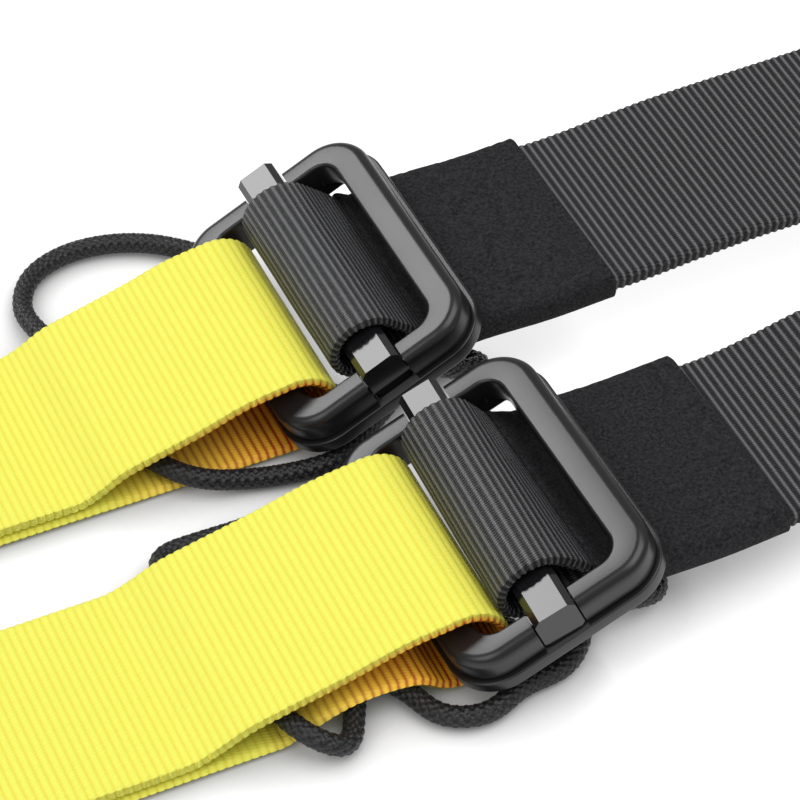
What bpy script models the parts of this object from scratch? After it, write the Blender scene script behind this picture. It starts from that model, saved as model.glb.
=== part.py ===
"""Suspension trainer: two webbing straps with release rings, spinning handles and one anchor.

X runs along the straps, from the anchor (-X) to the handles (+X). Y runs across them.
Z is up, and the straps lie on the floor at Z = 0. Lengths are in metres.
"""

from math import acos, atan2, cos, degrees, hypot, pi, radians, sin, tan

import bmesh
import bpy
from mathutils import Matrix, Vector

# Clearances
CLEARANCE = 0.0003
CUT_OVERRUN = 0.004

# Webbing
WEB_WIDTH = 0.038
WEB_THICKNESS = 0.0016
FOLD_STEPS = 12

# Release ring, in its own frame: X across the two bars, Y along them, top face at Z = 0
RING_OPENING_LENGTH = 0.0247
RING_OPENING_WIDTH = 0.042
RING_END_BAR = 0.0058
RING_SIDE_BAR = 0.0044
RING_BODY_HEIGHT = 0.0048
RING_GROOVE_HEIGHT = 0.0004
RING_GROOVE_DEPTH = 0.0003
RING_LIP_HEIGHT = 0.0026
RING_LIP_REACH = 0.0008
RING_OUTER_CORNER = 0.0076
RING_INNER_CORNER = 0.0035
RING_RELIEF_CORNER = 0.0008
RING_RELIEF_HEIGHT = 0.0026
RING_EDGE_ROUND = 0.0018
RING_INNER_ROUND = 0.0006
RING_LIP_ROUND = 0.0005
RING_CORNER_STEPS = 8

# Cross bar and its notches, in the ring's frame
CROSS_BAR_SIZE = 0.007
CROSS_BAR_CHAMFER = 0.00105
CROSS_BAR_LENGTH = 0.0514
CROSS_BAR_SHIFT_X = 0.0006
CROSS_BAR_TURN_Y = 0.02
CROSS_BAR_STANDS_PROUD = 0.002
NOTCH_SIDE_CLEARANCE = 0.00035

# Eye under the cross bar for the release cord
EYE_STEM_WIDTH = 0.0022
EYE_STEM_LENGTH = 0.005
EYE_HOLE_RADIUS = 0.00205
EYE_WALL = 0.0011
EYE_DROP = 0.007
EYE_SHIFT_Y = 0.0018

# Black webbing folded round the cross bar
BAR_LOOP_WIDTH = 0.0376
BAR_LOOP_SHIFT_Y = 0.0009
BAR_LOOP_TAIL_GAP = 0.0007
BAR_LOOP_REACH = 0.0302

# Sleeve over the folded webbing
SLEEVE_LENGTH = 0.035
SLEEVE_WIDTH = 0.0404
SLEEVE_WALL = 0.0006
SLEEVE_SHIFT_Y = 0.0005

# Yellow loop round the ring's left bar
LOOP_TURN_CLEARANCE = 0.0009
LOOP_LAYER_GAP = 0.0006
LOOP_LEAVE_DEG = 15.0
# Fall of the upper layer from the ring to where it lies flat: (share of run, share of drop)
LOOP_FALL_SHARES = (
    (0.18, 0.10), (0.4, 0.33), (0.62, 0.53), (0.76, 0.665), (0.87, 0.86), (0.94, 0.965), (1.0, 1.0),
)

# Where things stand along the yellow strap, measured from the ring's centre
YELLOW_TAIL_REACH = 0.098
CAM_DISTANCE = 0.15
BUNDLE_START = 0.205
ANCHOR_APPROACH = 0.05
BUNDLE_RUNS = 5
BUNDLE_FOLD_GAP = 0.0006
ANCHOR_BAR_DISTANCE = 0.375
ANCHOR_TAIL = 0.032

# Cam buckle that sets the strap's length
CAM_FRAME_LENGTH = 0.044
CAM_FLOOR = 0.0015
CAM_CHEEK = 0.0024
CAM_CHEEK_HEIGHT = 0.0165
CAM_CHEEK_LENGTH = 0.022
CAM_INNER_WIDTH = 0.0394
CAM_PIN_RADIUS = 0.002
CAM_PIN_HEIGHT = 0.0112
CAM_PIN_HEAD = 0.0034
CAM_PIN_HEAD_LENGTH = 0.0012
CAM_LEVER_REACH = 0.03
CAM_LEVER_THICKNESS = 0.0035
CAM_LEVER_WIDTH = 0.0315
CAM_OPEN_DEG = 55.0
SPRING_WIRE_RADIUS = 0.0004
SPRING_COIL_RADIUS = 0.0034
SPRING_TURNS = 4
SPRING_PITCH = 0.0014
SPRING_TURN_POINTS = 8

# Band round the stowed strap
TIE_WIDTH = 0.018
TIE_THICKNESS = 0.0012

# Anchor ring, anchor strap and carabiner
ANCHOR_BAR_RADIUS = 0.004
ANCHOR_RING_LENGTH = 0.034
ANCHOR_RING_CORNER = 0.009
ANCHOR_STRAP_WIDTH = 0.025
ANCHOR_STRAP_LENGTH = 0.13
ANCHOR_LEAVE_DEG = 30.0
CARABINER_BAR_RADIUS = 0.0045
CARABINER_LENGTH = 0.1
CARABINER_WIDTH = 0.052
CARABINER_CORNER = 0.01
GATE_HINGE_INSET = 0.02
GATE_NOSE_INSET = 0.018
GATE_END_GAP = 0.0006
GATE_TONGUE_THICKNESS = 0.003
GATE_SLOT_DEPTH = 0.01
GATE_TONGUE_PAST_PIN = 0.0024
GATE_SHOULDER_SETBACK = 0.0032
GATE_PIN_RADIUS = 0.0013
GATE_OPEN_DEG = 28.0
LOCK_LENGTH = 0.016
LOCK_WALL = 0.0015
LOCK_TRAVEL = 0.012

# Black strap
BLACK_STRAP_START = 0.0306
BLACK_STRAP_LEVEL = 0.0165
BLACK_BEND_START = 0.115
BLACK_BEND_LENGTH = 0.06
BLACK_STRAP_TURN_DEG = 12.0
BLACK_STRAP_LENGTH = 0.14

# Handle
HANDLE_DISTANCE = 0.118
HANDLE_TUBE_LENGTH = 0.122
HANDLE_TUBE_RADIUS = 0.0134
HANDLE_TUBE_WALL = 0.0016
GRIP_RADIUS = 0.017
GRIP_END_ROUND = 0.003
CAP_THICKNESS = 0.004
CAP_SKIRT = 0.006
CAP_WALL = 0.0033
HANDLE_STRAP_WIDTH = 0.019
HANDLE_SEAM_LENGTH = 0.026
HANDLE_STRAP_SPREAD = 0.0025
HANDLE_BEND_RADIUS = 0.009
HANDLE_STRAP_OUTSIDE = 0.006
TWIST_START_SHARE = 0.3
TWIST_END_SHARE = 0.94
FOOT_LOOP_WIDTH = 0.03
FOOT_LOOP_THICKNESS = 0.002
FOOT_LOOP_REACH = 0.125
FOOT_LOOP_SEAM = 0.026
# Foot loop beyond the handle: (share of reach, share of half width)
FOOT_LOOP_SHARES = ((0.3, 1.0), (0.6, 0.93), (0.84, 0.66), (0.96, 0.32))

# Release cord
CORD_RADIUS = 0.0018
CORD_POINT_STEP = 0.0078
CORD_BEVEL_RESOLUTION = 2

ROUND_SEGMENTS = 20
TUBE_RESOLUTION = 2

# The two straps: ring centre, tilt of the ring, and how the sleeve leaves the ring
FAR_CENTRE = (0.0, 0.0)
FAR_TILT_DEG = 26.84
FAR_YAW_DEG = 0.3
FAR_SLEEVE_AHEAD = 0.0034
FAR_SLEEVE_RISE = 0.0013
FAR_SLEEVE_FALL = -0.0013
FAR_STRAP_CREST = 0.001
FAR_STRAP_ROLL_DEG = 4.5
FAR_BAR_SHIFT_Y = 0.0012
FAR_BAR_SKEW_DEG = 0.0
FAR_LANDING = 0.051
FAR_LIFT = 0.0

NEAR_CENTRE = (0.00384, -0.05684)
NEAR_TILT_DEG = 22.44
NEAR_YAW_DEG = 1.15
NEAR_SLEEVE_AHEAD = 0.0054
NEAR_SLEEVE_RISE = 0.0021
NEAR_SLEEVE_FALL = -0.0001
NEAR_STRAP_CREST = 0.0
NEAR_STRAP_ROLL_DEG = 3.0
NEAR_BAR_SHIFT_Y = 0.0002
NEAR_BAR_SKEW_DEG = -2.4
NEAR_LANDING = 0.0585
NEAR_LIFT = 0.0041
# Stretch of the near strap's lower layer that the cord lifts, measured from the ring's centre
LIFT_ARC_DEG = 33.0
LIFT_HIGH_START = 0.0215
LIFT_HIGH_END = 0.0315
LIFT_END = 0.0425

# Routes of the release cords, from the eye's left mouth to its right mouth, chosen by hand
FAR_CORD_ROUTE = (
    (-0.0002, -0.0163, 0.0038), (-0.0024, -0.0125, 0.0029), (-0.0035, -0.0072, 0.0021),
    (-0.0036, 0.002, 0.0019), (-0.0036, 0.012, 0.0019), (-0.0042, 0.0205, 0.0019),
    (-0.0062, 0.0262, 0.0019), (-0.0102, 0.0312, 0.0019), (-0.0158, 0.0362, 0.0019), (-0.0222, 0.0392, 0.0019),
    (-0.0288, 0.0402, 0.0019), (-0.0348, 0.039, 0.0019), (-0.0396, 0.0358, 0.0019), (-0.0419, 0.0315, 0.0019),
    (-0.0427, 0.0266, 0.0022), (-0.042, 0.0216, 0.0036), (-0.0404, 0.014, 0.0039),
    (-0.0394, 0.006, 0.00385), (-0.0384, -0.004, 0.00385), (-0.0368, -0.0115, 0.00385),
    (-0.0344, -0.0168, 0.0039), (-0.0318, -0.0196, 0.0037), (-0.0288, -0.0214, 0.0028),
    (-0.0252, -0.0222, 0.0019), (-0.0205, -0.0232, 0.0019), (-0.016, -0.0244, 0.0019),
    (-0.0118, -0.0252, 0.0019), (-0.0078, -0.0248, 0.0019), (-0.004, -0.0226, 0.0019), (0.0015, -0.019, 0.0019),
    (0.007, -0.0152, 0.0019), (0.0122, -0.0119, 0.0019), (0.0176, -0.0102, 0.0019),
    (0.022, -0.012, 0.0021), (0.0232, -0.0156, 0.003), (0.0205, -0.018, 0.0048),
    (0.0158, -0.0178, 0.0068),
)
NEAR_CORD_ROUTE = (
    (-0.0012, -0.0163, 0.0034), (-0.0032, -0.0125, 0.0027), (-0.0042, -0.007, 0.0021),
    (-0.0044, 0.002, 0.0019), (-0.0044, 0.012, 0.0019), (-0.0046, 0.0202, 0.0019),
    (-0.0064, 0.0244, 0.0019), (-0.0098, 0.0262, 0.0019), (-0.0134, 0.0265, 0.0019),
    (-0.0188, 0.026, 0.0019),
    (-0.025, 0.0248, 0.0019), (-0.0322, 0.0242, 0.0019), (-0.0396, 0.0244, 0.0019),
    (-0.0454, 0.0238, 0.0023), (-0.0476, 0.0205, 0.0037), (-0.0474, 0.0145, 0.0038),
    (-0.0463, 0.0065, 0.0039), (-0.0447, -0.003, 0.004), (-0.0427, -0.0118, 0.0043),
    (-0.0408, -0.0184, 0.0049), (-0.0393, -0.0219, 0.0047), (-0.0359, -0.0245, 0.0026),
    (-0.0324, -0.0221, 0.0019), (-0.0306, -0.0178, 0.0019), (-0.0292, -0.0132, 0.0019),
    (-0.0259, -0.0116, 0.0019), (-0.0226, -0.0139, 0.0019), (-0.0215, -0.0186, 0.0019),
    (-0.0199, -0.0228, 0.0019), (-0.0166, -0.0254, 0.0019),
    (-0.0128, -0.0265, 0.0019), (-0.0094, -0.0256, 0.0019), (-0.0058, -0.0238, 0.0019),
    (-0.0015, -0.0235, 0.0019), (0.003, -0.0228, 0.0019), (0.0064, -0.0206, 0.0019), (0.0084, -0.0168, 0.0019),
    (0.01, -0.0118, 0.0019), (0.0134, -0.0076, 0.0019), (0.0186, -0.0062, 0.0019),
    (0.0232, -0.0088, 0.0019), (0.0237, -0.0138, 0.0023), (0.0204, -0.0172, 0.0039),
    (0.0158, -0.0176, 0.0057),
)

HALF_WEB = WEB_THICKNESS / 2
BUNDLE_RUN = ANCHOR_BAR_DISTANCE - ANCHOR_APPROACH - BUNDLE_START
RING_HEIGHT = RING_BODY_HEIGHT + RING_GROOVE_HEIGHT + RING_LIP_HEIGHT
RING_BAR_OFFSET = (RING_OPENING_LENGTH + RING_END_BAR) / 2
LOOP_RADIUS = (
    hypot(RING_END_BAR / 2 + RING_LIP_REACH, RING_HEIGHT / 2) + LOOP_TURN_CLEARANCE + HALF_WEB
)
RUN_PITCH = WEB_THICKNESS + BUNDLE_FOLD_GAP
UPPER_LAYER_HEIGHT = WEB_THICKNESS + LOOP_LAYER_GAP + HALF_WEB
CAM_LOBE_RADIUS = CAM_PIN_HEIGHT - UPPER_LAYER_HEIGHT - HALF_WEB - CLEARANCE
CAP_HOLE_RADIUS = hypot(HANDLE_STRAP_WIDTH / 2, HALF_WEB) + 2 * CLEARANCE
CROSS_BAR_CENTRE_DROP = CROSS_BAR_SIZE / 2 - CROSS_BAR_STANDS_PROUD
BAR_LOOP_RADIUS = hypot(CROSS_BAR_SIZE / 2, CROSS_BAR_SIZE / 2 - CROSS_BAR_CHAMFER) + CLEARANCE + HALF_WEB
EYE_RADIUS = EYE_HOLE_RADIUS + EYE_WALL
EYE_CENTRE_Y = -RING_OPENING_WIDTH / 2 + EYE_RADIUS + EYE_STEM_WIDTH / 4
EYE_CENTRE_Z = -CROSS_BAR_CENTRE_DROP - CROSS_BAR_SIZE / 2 - EYE_DROP
SLEEVE_SLOT = 2 * WEB_THICKNESS + BAR_LOOP_TAIL_GAP + 2 * CLEARANCE
SLEEVE_HEIGHT = SLEEVE_SLOT + 2 * SLEEVE_WALL
TAIL_OFFSET = (WEB_THICKNESS + BAR_LOOP_TAIL_GAP) / 2


def material(name, colour, roughness, metallic=0.0):
    """A Principled material, made once for each name."""
    found = bpy.data.materials.get(name)
    if found:
        return found
    made = bpy.data.materials.new(name)
    made.use_nodes = True
    shader = made.node_tree.nodes["Principled BSDF"]
    shader.inputs["Base Color"].default_value = (*colour, 1.0)
    shader.inputs["Roughness"].default_value = roughness
    shader.inputs["Metallic"].default_value = metallic
    return made


def empty(name, parent=None, matrix=Matrix.Identity(4)):
    """An empty that carries other pieces. The matrix is in world space."""
    made = bpy.data.objects.new(name, None)
    bpy.context.collection.objects.link(made)
    made.parent = parent
    bpy.context.view_layer.update()
    made.matrix_world = matrix
    bpy.context.view_layer.update()
    return made


def solid(name, bm, finish, parent, matrix=Matrix.Identity(4), smooth_deg=40.0):
    """Turn a bmesh into an object that its parent carries. The matrix is in world space."""
    bmesh.ops.recalc_face_normals(bm, faces=bm.faces)
    mesh = bpy.data.meshes.new(name)
    bm.to_mesh(mesh)
    bm.free()
    mesh.materials.append(finish)
    mesh.shade_smooth()
    mesh.set_sharp_from_angle(angle=radians(smooth_deg))
    made = bpy.data.objects.new(name, mesh)
    bpy.context.collection.objects.link(made)
    made.parent = parent
    bpy.context.view_layer.update()
    made.matrix_world = matrix
    return made


def boolean(target, other, operation="DIFFERENCE"):
    """Cut or join with another object, which stays in the file as a wire guide."""
    other.hide_render = True
    other.display_type = "WIRE"
    change = target.modifiers.new(f"{operation.lower()}_{other.name}", "BOOLEAN")
    change.operation = operation
    change.object = other
    change.solver = "EXACT"


def box_mesh(low, high):
    """A box between two corners."""
    bm = bmesh.new()
    bmesh.ops.create_cube(bm, size=1.0)
    for vert in bm.verts:
        for axis in range(3):
            vert.co[axis] = high[axis] if vert.co[axis] > 0 else low[axis]
    return bm


def loft(loops, closed=False, caps=True):
    """Skin a row of equal loops. A closed loft joins the last loop to the first."""
    bm = bmesh.new()
    rows = [[bm.verts.new(point) for point in loop] for loop in loops]
    pairs = list(zip(rows, rows[1:]))
    if closed:
        pairs.append((rows[-1], rows[0]))
    for first, second in pairs:
        for index in range(len(first)):
            after = (index + 1) % len(first)
            bm.faces.new((first[index], first[after], second[after], second[index]))
    if caps and not closed:
        bm.faces.new(list(reversed(rows[0])))
        bm.faces.new(rows[-1])
    return bm


def prism(outline, start, end, axis):
    """Extrude an outline along X, Y or Z. The outline holds the other two coordinates in order."""
    place = {
        "X": lambda a, b, along: (along, a, b),
        "Y": lambda a, b, along: (a, along, b),
        "Z": lambda a, b, along: (a, b, along),
    }[axis]
    return loft([[place(a, b, along) for a, b in outline] for along in (start, end)])


def turned(profile, axis, closed=True):
    """Turn a profile of (radius, place along the axis). A closed profile makes a ring or tube."""
    loops = []
    for step in range(ROUND_SEGMENTS):
        angle = 2 * pi * step / ROUND_SEGMENTS
        loop = []
        for radius, along in profile:
            across = radius * cos(angle)
            up = radius * sin(angle)
            loop.append({"X": (along, across, up), "Y": (across, along, up), "Z": (across, up, along)}[axis])
        loops.append(loop)
    if closed:
        return loft(loops, closed=True)
    turned_rows = [[loop[index] for loop in loops] for index in range(len(profile))]
    return loft(turned_rows)


def arc(centre, radius, start_deg, end_deg, steps=FOLD_STEPS):
    """Points of an arc in a plane, both ends included."""
    points = []
    for step in range(steps + 1):
        angle = radians(start_deg + (end_deg - start_deg) * step / steps)
        points.append((centre[0] + radius * cos(angle), centre[1] + radius * sin(angle)))
    return points


def rounded_rectangle(half_x, half_y, corner, steps=RING_CORNER_STEPS):
    """Outline of a rounded rectangle about the origin, counter-clockwise from +X."""
    points = []
    for sign_x, sign_y, start in ((1, 1, 0), (-1, 1, 90), (-1, -1, 180), (1, -1, 270)):
        centre = (sign_x * (half_x - corner), sign_y * (half_y - corner))
        points += arc(centre, corner, start, start + 90, steps)
    return points


def smooth_through(points, step):
    """A Catmull-Rom curve through the points, read at an even spacing."""
    knots = [Vector(point) for point in points]
    knots = [2 * knots[0] - knots[1]] + knots + [2 * knots[-1] - knots[-2]]
    fine = []
    pieces = 24
    for index in range(1, len(knots) - 2):
        before, first, second, after = knots[index - 1:index + 3]
        for piece in range(pieces):
            t = piece / pieces
            fine.append(0.5 * (
                2 * first + (second - before) * t
                + (2 * before - 5 * first + 4 * second - after) * t ** 2
                + (3 * first - before - 3 * second + after) * t ** 3
            ))
    fine.append(knots[-2])
    length = sum((b - a).length for a, b in zip(fine, fine[1:]))
    count = max(2, round(length / step))
    chosen = [fine[0]]
    walked = 0.0
    for first, second in zip(fine, fine[1:]):
        walked += (second - first).length
        if walked >= len(chosen) * length / count - 1e-12 and len(chosen) < count:
            chosen.append(second)
    chosen.append(fine[-1])
    return chosen


def ribbon(centres, widths, width, thickness):
    """Webbing along a row of centre points, whose width runs along the given directions."""
    points = [Vector(point) for point in centres]
    loops = []
    for index, point in enumerate(points):
        ahead = points[min(index + 1, len(points) - 1)]
        behind = points[max(index - 1, 0)]
        along = (ahead - behind).normalized()
        across = Vector(widths[index])
        across = (across - along * across.dot(along)).normalized()
        normal = along.cross(across)
        half_across = across * width / 2
        half_normal = normal * thickness / 2
        loops.append([
            point - half_across - half_normal, point + half_across - half_normal,
            point + half_across + half_normal, point - half_across + half_normal,
        ])
    return loft(loops)


def level_ribbon(path, shift_y, width, thickness=WEB_THICKNESS):
    """Webbing whose path lies in the XZ plane and whose width runs along Y."""
    centres = [(x, shift_y, z) for x, z in path]
    return ribbon(centres, [(0, 1, 0)] * len(centres), width, thickness)


def tube(name, points, radius, resolution, finish, parent, cyclic=False):
    """A round bar or cord along the points."""
    curve = bpy.data.curves.new(name, "CURVE")
    curve.dimensions = "3D"
    curve.bevel_depth = radius
    curve.bevel_resolution = resolution
    curve.use_fill_caps = not cyclic
    spline = curve.splines.new("POLY")
    spline.points.add(len(points) - 1)
    for target, point in zip(spline.points, points):
        target.co = (*point, 1.0)
    spline.use_cyclic_u = cyclic
    curve.materials.append(finish)
    made = bpy.data.objects.new(name, curve)
    bpy.context.collection.objects.link(made)
    made.parent = parent
    bpy.context.view_layer.update()
    made.matrix_world = Matrix.Identity(4)
    return made


def bent_bar(points, radius):
    """A round bar whose path lies level, with flat ends."""
    count = 4 * TUBE_RESOLUTION + 4
    loops = []
    for index, point in enumerate(points):
        ahead = Vector(points[min(index + 1, len(points) - 1)])
        behind = Vector(points[max(index - 1, 0)])
        along = (ahead - behind).normalized()
        across = along.cross(Vector((0, 0, 1)))
        loop = []
        for step in range(count):
            angle = 2 * pi * step / count
            loop.append(Vector(point) + radius * (across * cos(angle) + Vector((0, 0, sin(angle)))))
        loops.append(loop)
    return loft(loops)


class Side:
    """Places that follow from one ring's centre and tilt."""

    def __init__(self, name, centre, tilt, yaw, landing, lift, ahead, rise, fall, crest, roll,
                 bar_shift_y, bar_skew, turn, route):
        self.name = name
        self.x, self.y = centre
        self.tilt = radians(tilt)
        self.yaw = radians(yaw)
        self.landing = landing
        self.lift = lift
        self.sleeve_ahead = ahead
        self.sleeve_rise = rise
        self.sleeve_fall = fall
        self.strap_crest = crest
        self.strap_roll = radians(roll)
        self.bar_shift_y = bar_shift_y
        self.bar_skew = radians(bar_skew)
        self.turn = radians(turn)
        self.route = route
        floor_to_bar = HALF_WEB + LOOP_RADIUS
        self.height = (
            floor_to_bar + RING_BAR_OFFSET * sin(self.tilt) + RING_HEIGHT / 2 * cos(self.tilt)
        )
        self.bar = self.ring_point(-RING_BAR_OFFSET, -RING_HEIGHT / 2)
        self.cross = self.ring_point(CROSS_BAR_SHIFT_X, -CROSS_BAR_CENTRE_DROP)
        self.right_corner = self.ring_point(RING_OPENING_LENGTH / 2, -RING_HEIGHT)

    def ring_point(self, x, z):
        """A point of the ring's frame, as (X, Z) from the ring's centre on the floor."""
        return (
            x * cos(self.tilt) - z * sin(self.tilt),
            self.height + x * sin(self.tilt) + z * cos(self.tilt),
        )

    def ring_matrix(self):
        """World matrix of the ring's own frame."""
        turn = Matrix.Rotation(self.yaw, 4, "Z") @ Matrix.Rotation(-self.tilt, 4, "Y")
        return Matrix.Translation((self.x, self.y, self.height)) @ turn

    def bar_matrix(self):
        """World matrix of the cross bar, which may lie a little askew in the ring."""
        pivot = Vector((CROSS_BAR_SHIFT_X, CROSS_BAR_TURN_Y, 0))
        skew = Matrix.Translation(pivot) @ Matrix.Rotation(self.bar_skew, 4, "Z") @ Matrix.Translation(-pivot)
        return self.ring_matrix() @ skew

    def skewed(self, point, start, end):
        """A point of the folded webbing, moved as far as the skew of the bar carries it."""
        share = min(1.0, max(0.0, (end - point.x) / (end - start)))
        along = -(point.y - CROSS_BAR_TURN_Y) * tan(self.bar_skew) * share ** 2 * (3 - 2 * share)
        return point + Vector((along * cos(self.tilt), 0, along * sin(self.tilt)))

    def yawed_matrix(self):
        """World matrix of a frame that stands on the floor under the ring and turns with it."""
        return Matrix.Translation((self.x, self.y, 0)) @ Matrix.Rotation(self.yaw, 4, "Z")

    def level_matrix(self):
        """World matrix of a frame on the floor under the ring, square to the world."""
        return Matrix.Translation((self.x, self.y, 0))

    def sleeve_path(self):
        """Centre line of the sleeve, from its mouth inside the ring."""
        corner_x, corner_z = self.right_corner
        under_z = corner_z - 2 * CLEARANCE - SLEEVE_HEIGHT / 2 / cos(self.tilt)
        level_z = under_z - self.sleeve_fall
        mouth = (corner_x - self.sleeve_ahead, under_z + self.sleeve_rise)
        end_x = mouth[0] + SLEEVE_LENGTH
        near_x = corner_x + RING_END_BAR
        return [
            mouth, (corner_x, under_z), (near_x, level_z), ((near_x + end_x) / 2, level_z - CLEARANCE),
            (end_x, level_z + CLEARANCE),
        ]


def blended_row(path, step):
    """A smooth, evenly read version of a path in the XZ plane."""
    smooth = smooth_through([(x, 0, z) for x, z in path], step)
    return [(point.x, point.z) for point in smooth]


def ring_buckle(side, finish, pivot):
    """The cast ring: body, groove and lip as one turned section, then two notches."""
    outer_x = RING_OPENING_LENGTH / 2 + RING_END_BAR
    outer_y = RING_OPENING_WIDTH / 2 + RING_SIDE_BAR
    lip_top = -RING_BODY_HEIGHT - RING_GROOVE_HEIGHT
    section = [
        (RING_LIP_REACH - RING_LIP_ROUND, -RING_HEIGHT), (RING_LIP_REACH, -RING_HEIGHT + RING_LIP_ROUND),
        (RING_LIP_REACH, lip_top - RING_GROOVE_DEPTH), (RING_LIP_REACH - RING_GROOVE_DEPTH, lip_top),
        (-RING_GROOVE_DEPTH, lip_top), (-RING_GROOVE_DEPTH, -RING_BODY_HEIGHT),
        (0, -RING_BODY_HEIGHT + RING_GROOVE_DEPTH),
    ]
    section += arc((-RING_EDGE_ROUND, -RING_EDGE_ROUND), RING_EDGE_ROUND, 0, 90, 4)
    loops = []
    for reach, z in section:
        outline = rounded_rectangle(outer_x + reach, outer_y + reach, RING_OUTER_CORNER + reach)
        loops.append([(x, y, z) for x, y in outline])
    relief_z = -RING_HEIGHT + RING_RELIEF_HEIGHT
    inner = [
        (RING_INNER_ROUND, 0, RING_INNER_CORNER), (0, -RING_INNER_ROUND, RING_INNER_CORNER),
        (0, relief_z, RING_INNER_CORNER), (0, relief_z - CLEARANCE, RING_RELIEF_CORNER),
        (0, -RING_HEIGHT + RING_INNER_ROUND, RING_RELIEF_CORNER),
        (RING_INNER_ROUND, -RING_HEIGHT, RING_RELIEF_CORNER),
    ]
    for reach, z, corner in inner:
        outline = rounded_rectangle(
            RING_OPENING_LENGTH / 2 + reach, RING_OPENING_WIDTH / 2 + reach, corner + reach
        )
        loops.append([(x, y, z) for x, y in outline])
    ring = solid(f"ring_buckle_{side.name}", loft(loops, closed=True), finish, pivot, side.ring_matrix())
    half_notch = CROSS_BAR_SIZE / 2 + NOTCH_SIDE_CLEARANCE
    notch_y = outer_y + RING_LIP_REACH + CUT_OVERRUN
    notch_floor = CROSS_BAR_STANDS_PROUD - CROSS_BAR_SIZE - CLEARANCE
    notch = box_mesh(
        (CROSS_BAR_SHIFT_X - half_notch, -notch_y, notch_floor),
        (CROSS_BAR_SHIFT_X + half_notch, notch_y, CUT_OVERRUN),
    )
    boolean(ring, solid(f"notch_{side.name}", notch, finish, pivot, side.bar_matrix()))


def cross_bar(side, finish, pivot):
    """The square bar with worn corners, and under it the eye for the release cord."""
    half = CROSS_BAR_SIZE / 2
    flat = half - CROSS_BAR_CHAMFER
    middle = -CROSS_BAR_CENTRE_DROP
    outline = [
        (half, -flat), (half, flat), (flat, half), (-flat, half),
        (-half, flat), (-half, -flat), (-flat, -half), (flat, -half),
    ]
    outline = [(x + CROSS_BAR_SHIFT_X, z + middle) for x, z in outline]
    low_y = side.bar_shift_y - CROSS_BAR_LENGTH / 2
    body = prism(outline, low_y, low_y + CROSS_BAR_LENGTH, "Y")
    bar = solid(f"cross_bar_{side.name}", body, finish, pivot, side.bar_matrix())
    half_length = EYE_STEM_LENGTH / 2
    stem_low = -RING_OPENING_WIDTH / 2 + CLEARANCE
    stem = box_mesh(
        (CROSS_BAR_SHIFT_X - half_length, stem_low, EYE_CENTRE_Z),
        (CROSS_BAR_SHIFT_X + half_length, stem_low + EYE_STEM_WIDTH, middle),
    )
    boolean(bar, solid(f"eye_stem_{side.name}", stem, finish, pivot, side.bar_matrix()), "UNION")
    to_eye = side.bar_matrix() @ Matrix.Translation((CROSS_BAR_SHIFT_X, EYE_CENTRE_Y, EYE_CENTRE_Z))
    disc = turned([(EYE_RADIUS, -half_length), (EYE_RADIUS, half_length)], "X", closed=False)
    boolean(bar, solid(f"eye_disc_{side.name}", disc, finish, pivot, to_eye), "UNION")
    reach = half_length + CUT_OVERRUN
    hole = turned([(EYE_HOLE_RADIUS, -reach), (EYE_HOLE_RADIUS, reach)], "X", closed=False)
    boolean(bar, solid(f"eye_hole_{side.name}", hole, finish, pivot, to_eye))


def bar_loop(side, finish, pivot):
    """Black webbing round the cross bar, with both tails inside the sleeve."""
    sleeve = blended_row(side.sleeve_path(), WEB_THICKNESS)
    upper, lower = offset_rows(sleeve, TAIL_OFFSET)
    upper_leave = tangent_angle(side.cross, BAR_LOOP_RADIUS, upper[0], 1)
    lower_leave = tangent_angle(side.cross, BAR_LOOP_RADIUS, lower[0], -1)
    fold = arc(side.cross, BAR_LOOP_RADIUS, upper_leave, lower_leave + 360, 2 * FOLD_STEPS)
    upper = [point for point in upper if point[0] < BAR_LOOP_REACH]
    lower = [point for point in lower if point[0] < BAR_LOOP_REACH]
    path = list(reversed(upper)) + fold + lower
    body = level_ribbon(path, BAR_LOOP_SHIFT_Y, BAR_LOOP_WIDTH)
    mouth_x = side.sleeve_path()[0][0]
    straight_x = mouth_x - BAR_LOOP_RADIUS
    for vert in body.verts:
        vert.co = side.skewed(vert.co, straight_x, mouth_x)
    solid(f"bar_loop_{side.name}", body, finish, pivot, side.yawed_matrix())


def tangent_angle(centre, radius, point, sign):
    """Angle at which a line from the point touches the circle, in degrees."""
    away = hypot(point[0] - centre[0], point[1] - centre[1])
    towards = atan2(point[1] - centre[1], point[0] - centre[0])
    return degrees(towards + sign * acos(radius / away))


def offset_rows(path, distance):
    """The path moved to its upper and to its lower side."""
    upper = []
    lower = []
    for index, (x, z) in enumerate(path):
        ahead = path[min(index + 1, len(path) - 1)]
        behind = path[max(index - 1, 0)]
        run = hypot(ahead[0] - behind[0], ahead[1] - behind[1])
        normal = (-(ahead[1] - behind[1]) / run, (ahead[0] - behind[0]) / run)
        upper.append((x + normal[0] * distance, z + normal[1] * distance))
        lower.append((x - normal[0] * distance, z - normal[1] * distance))
    return upper, lower


def sleeve(side, finish, pivot):
    """Flattened tube over the folded webbing, open at both ends."""
    path = blended_row(side.sleeve_path(), 2 * WEB_THICKNESS)
    outer = level_ribbon(path, SLEEVE_SHIFT_Y, SLEEVE_WIDTH, SLEEVE_HEIGHT)
    body = solid(f"sleeve_{side.name}", outer, finish, pivot, side.yawed_matrix())
    first, second = path[0], path[1]
    last, before = path[-1], path[-2]
    longer = [(2 * first[0] - second[0], 2 * first[1] - second[1])] + path
    longer.append((2 * last[0] - before[0], 2 * last[1] - before[1]))
    slot = level_ribbon(longer, SLEEVE_SHIFT_Y, SLEEVE_WIDTH - 2 * SLEEVE_WALL, SLEEVE_SLOT)
    boolean(body, solid(f"slot_{side.name}", slot, finish, pivot, side.yawed_matrix()))


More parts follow.
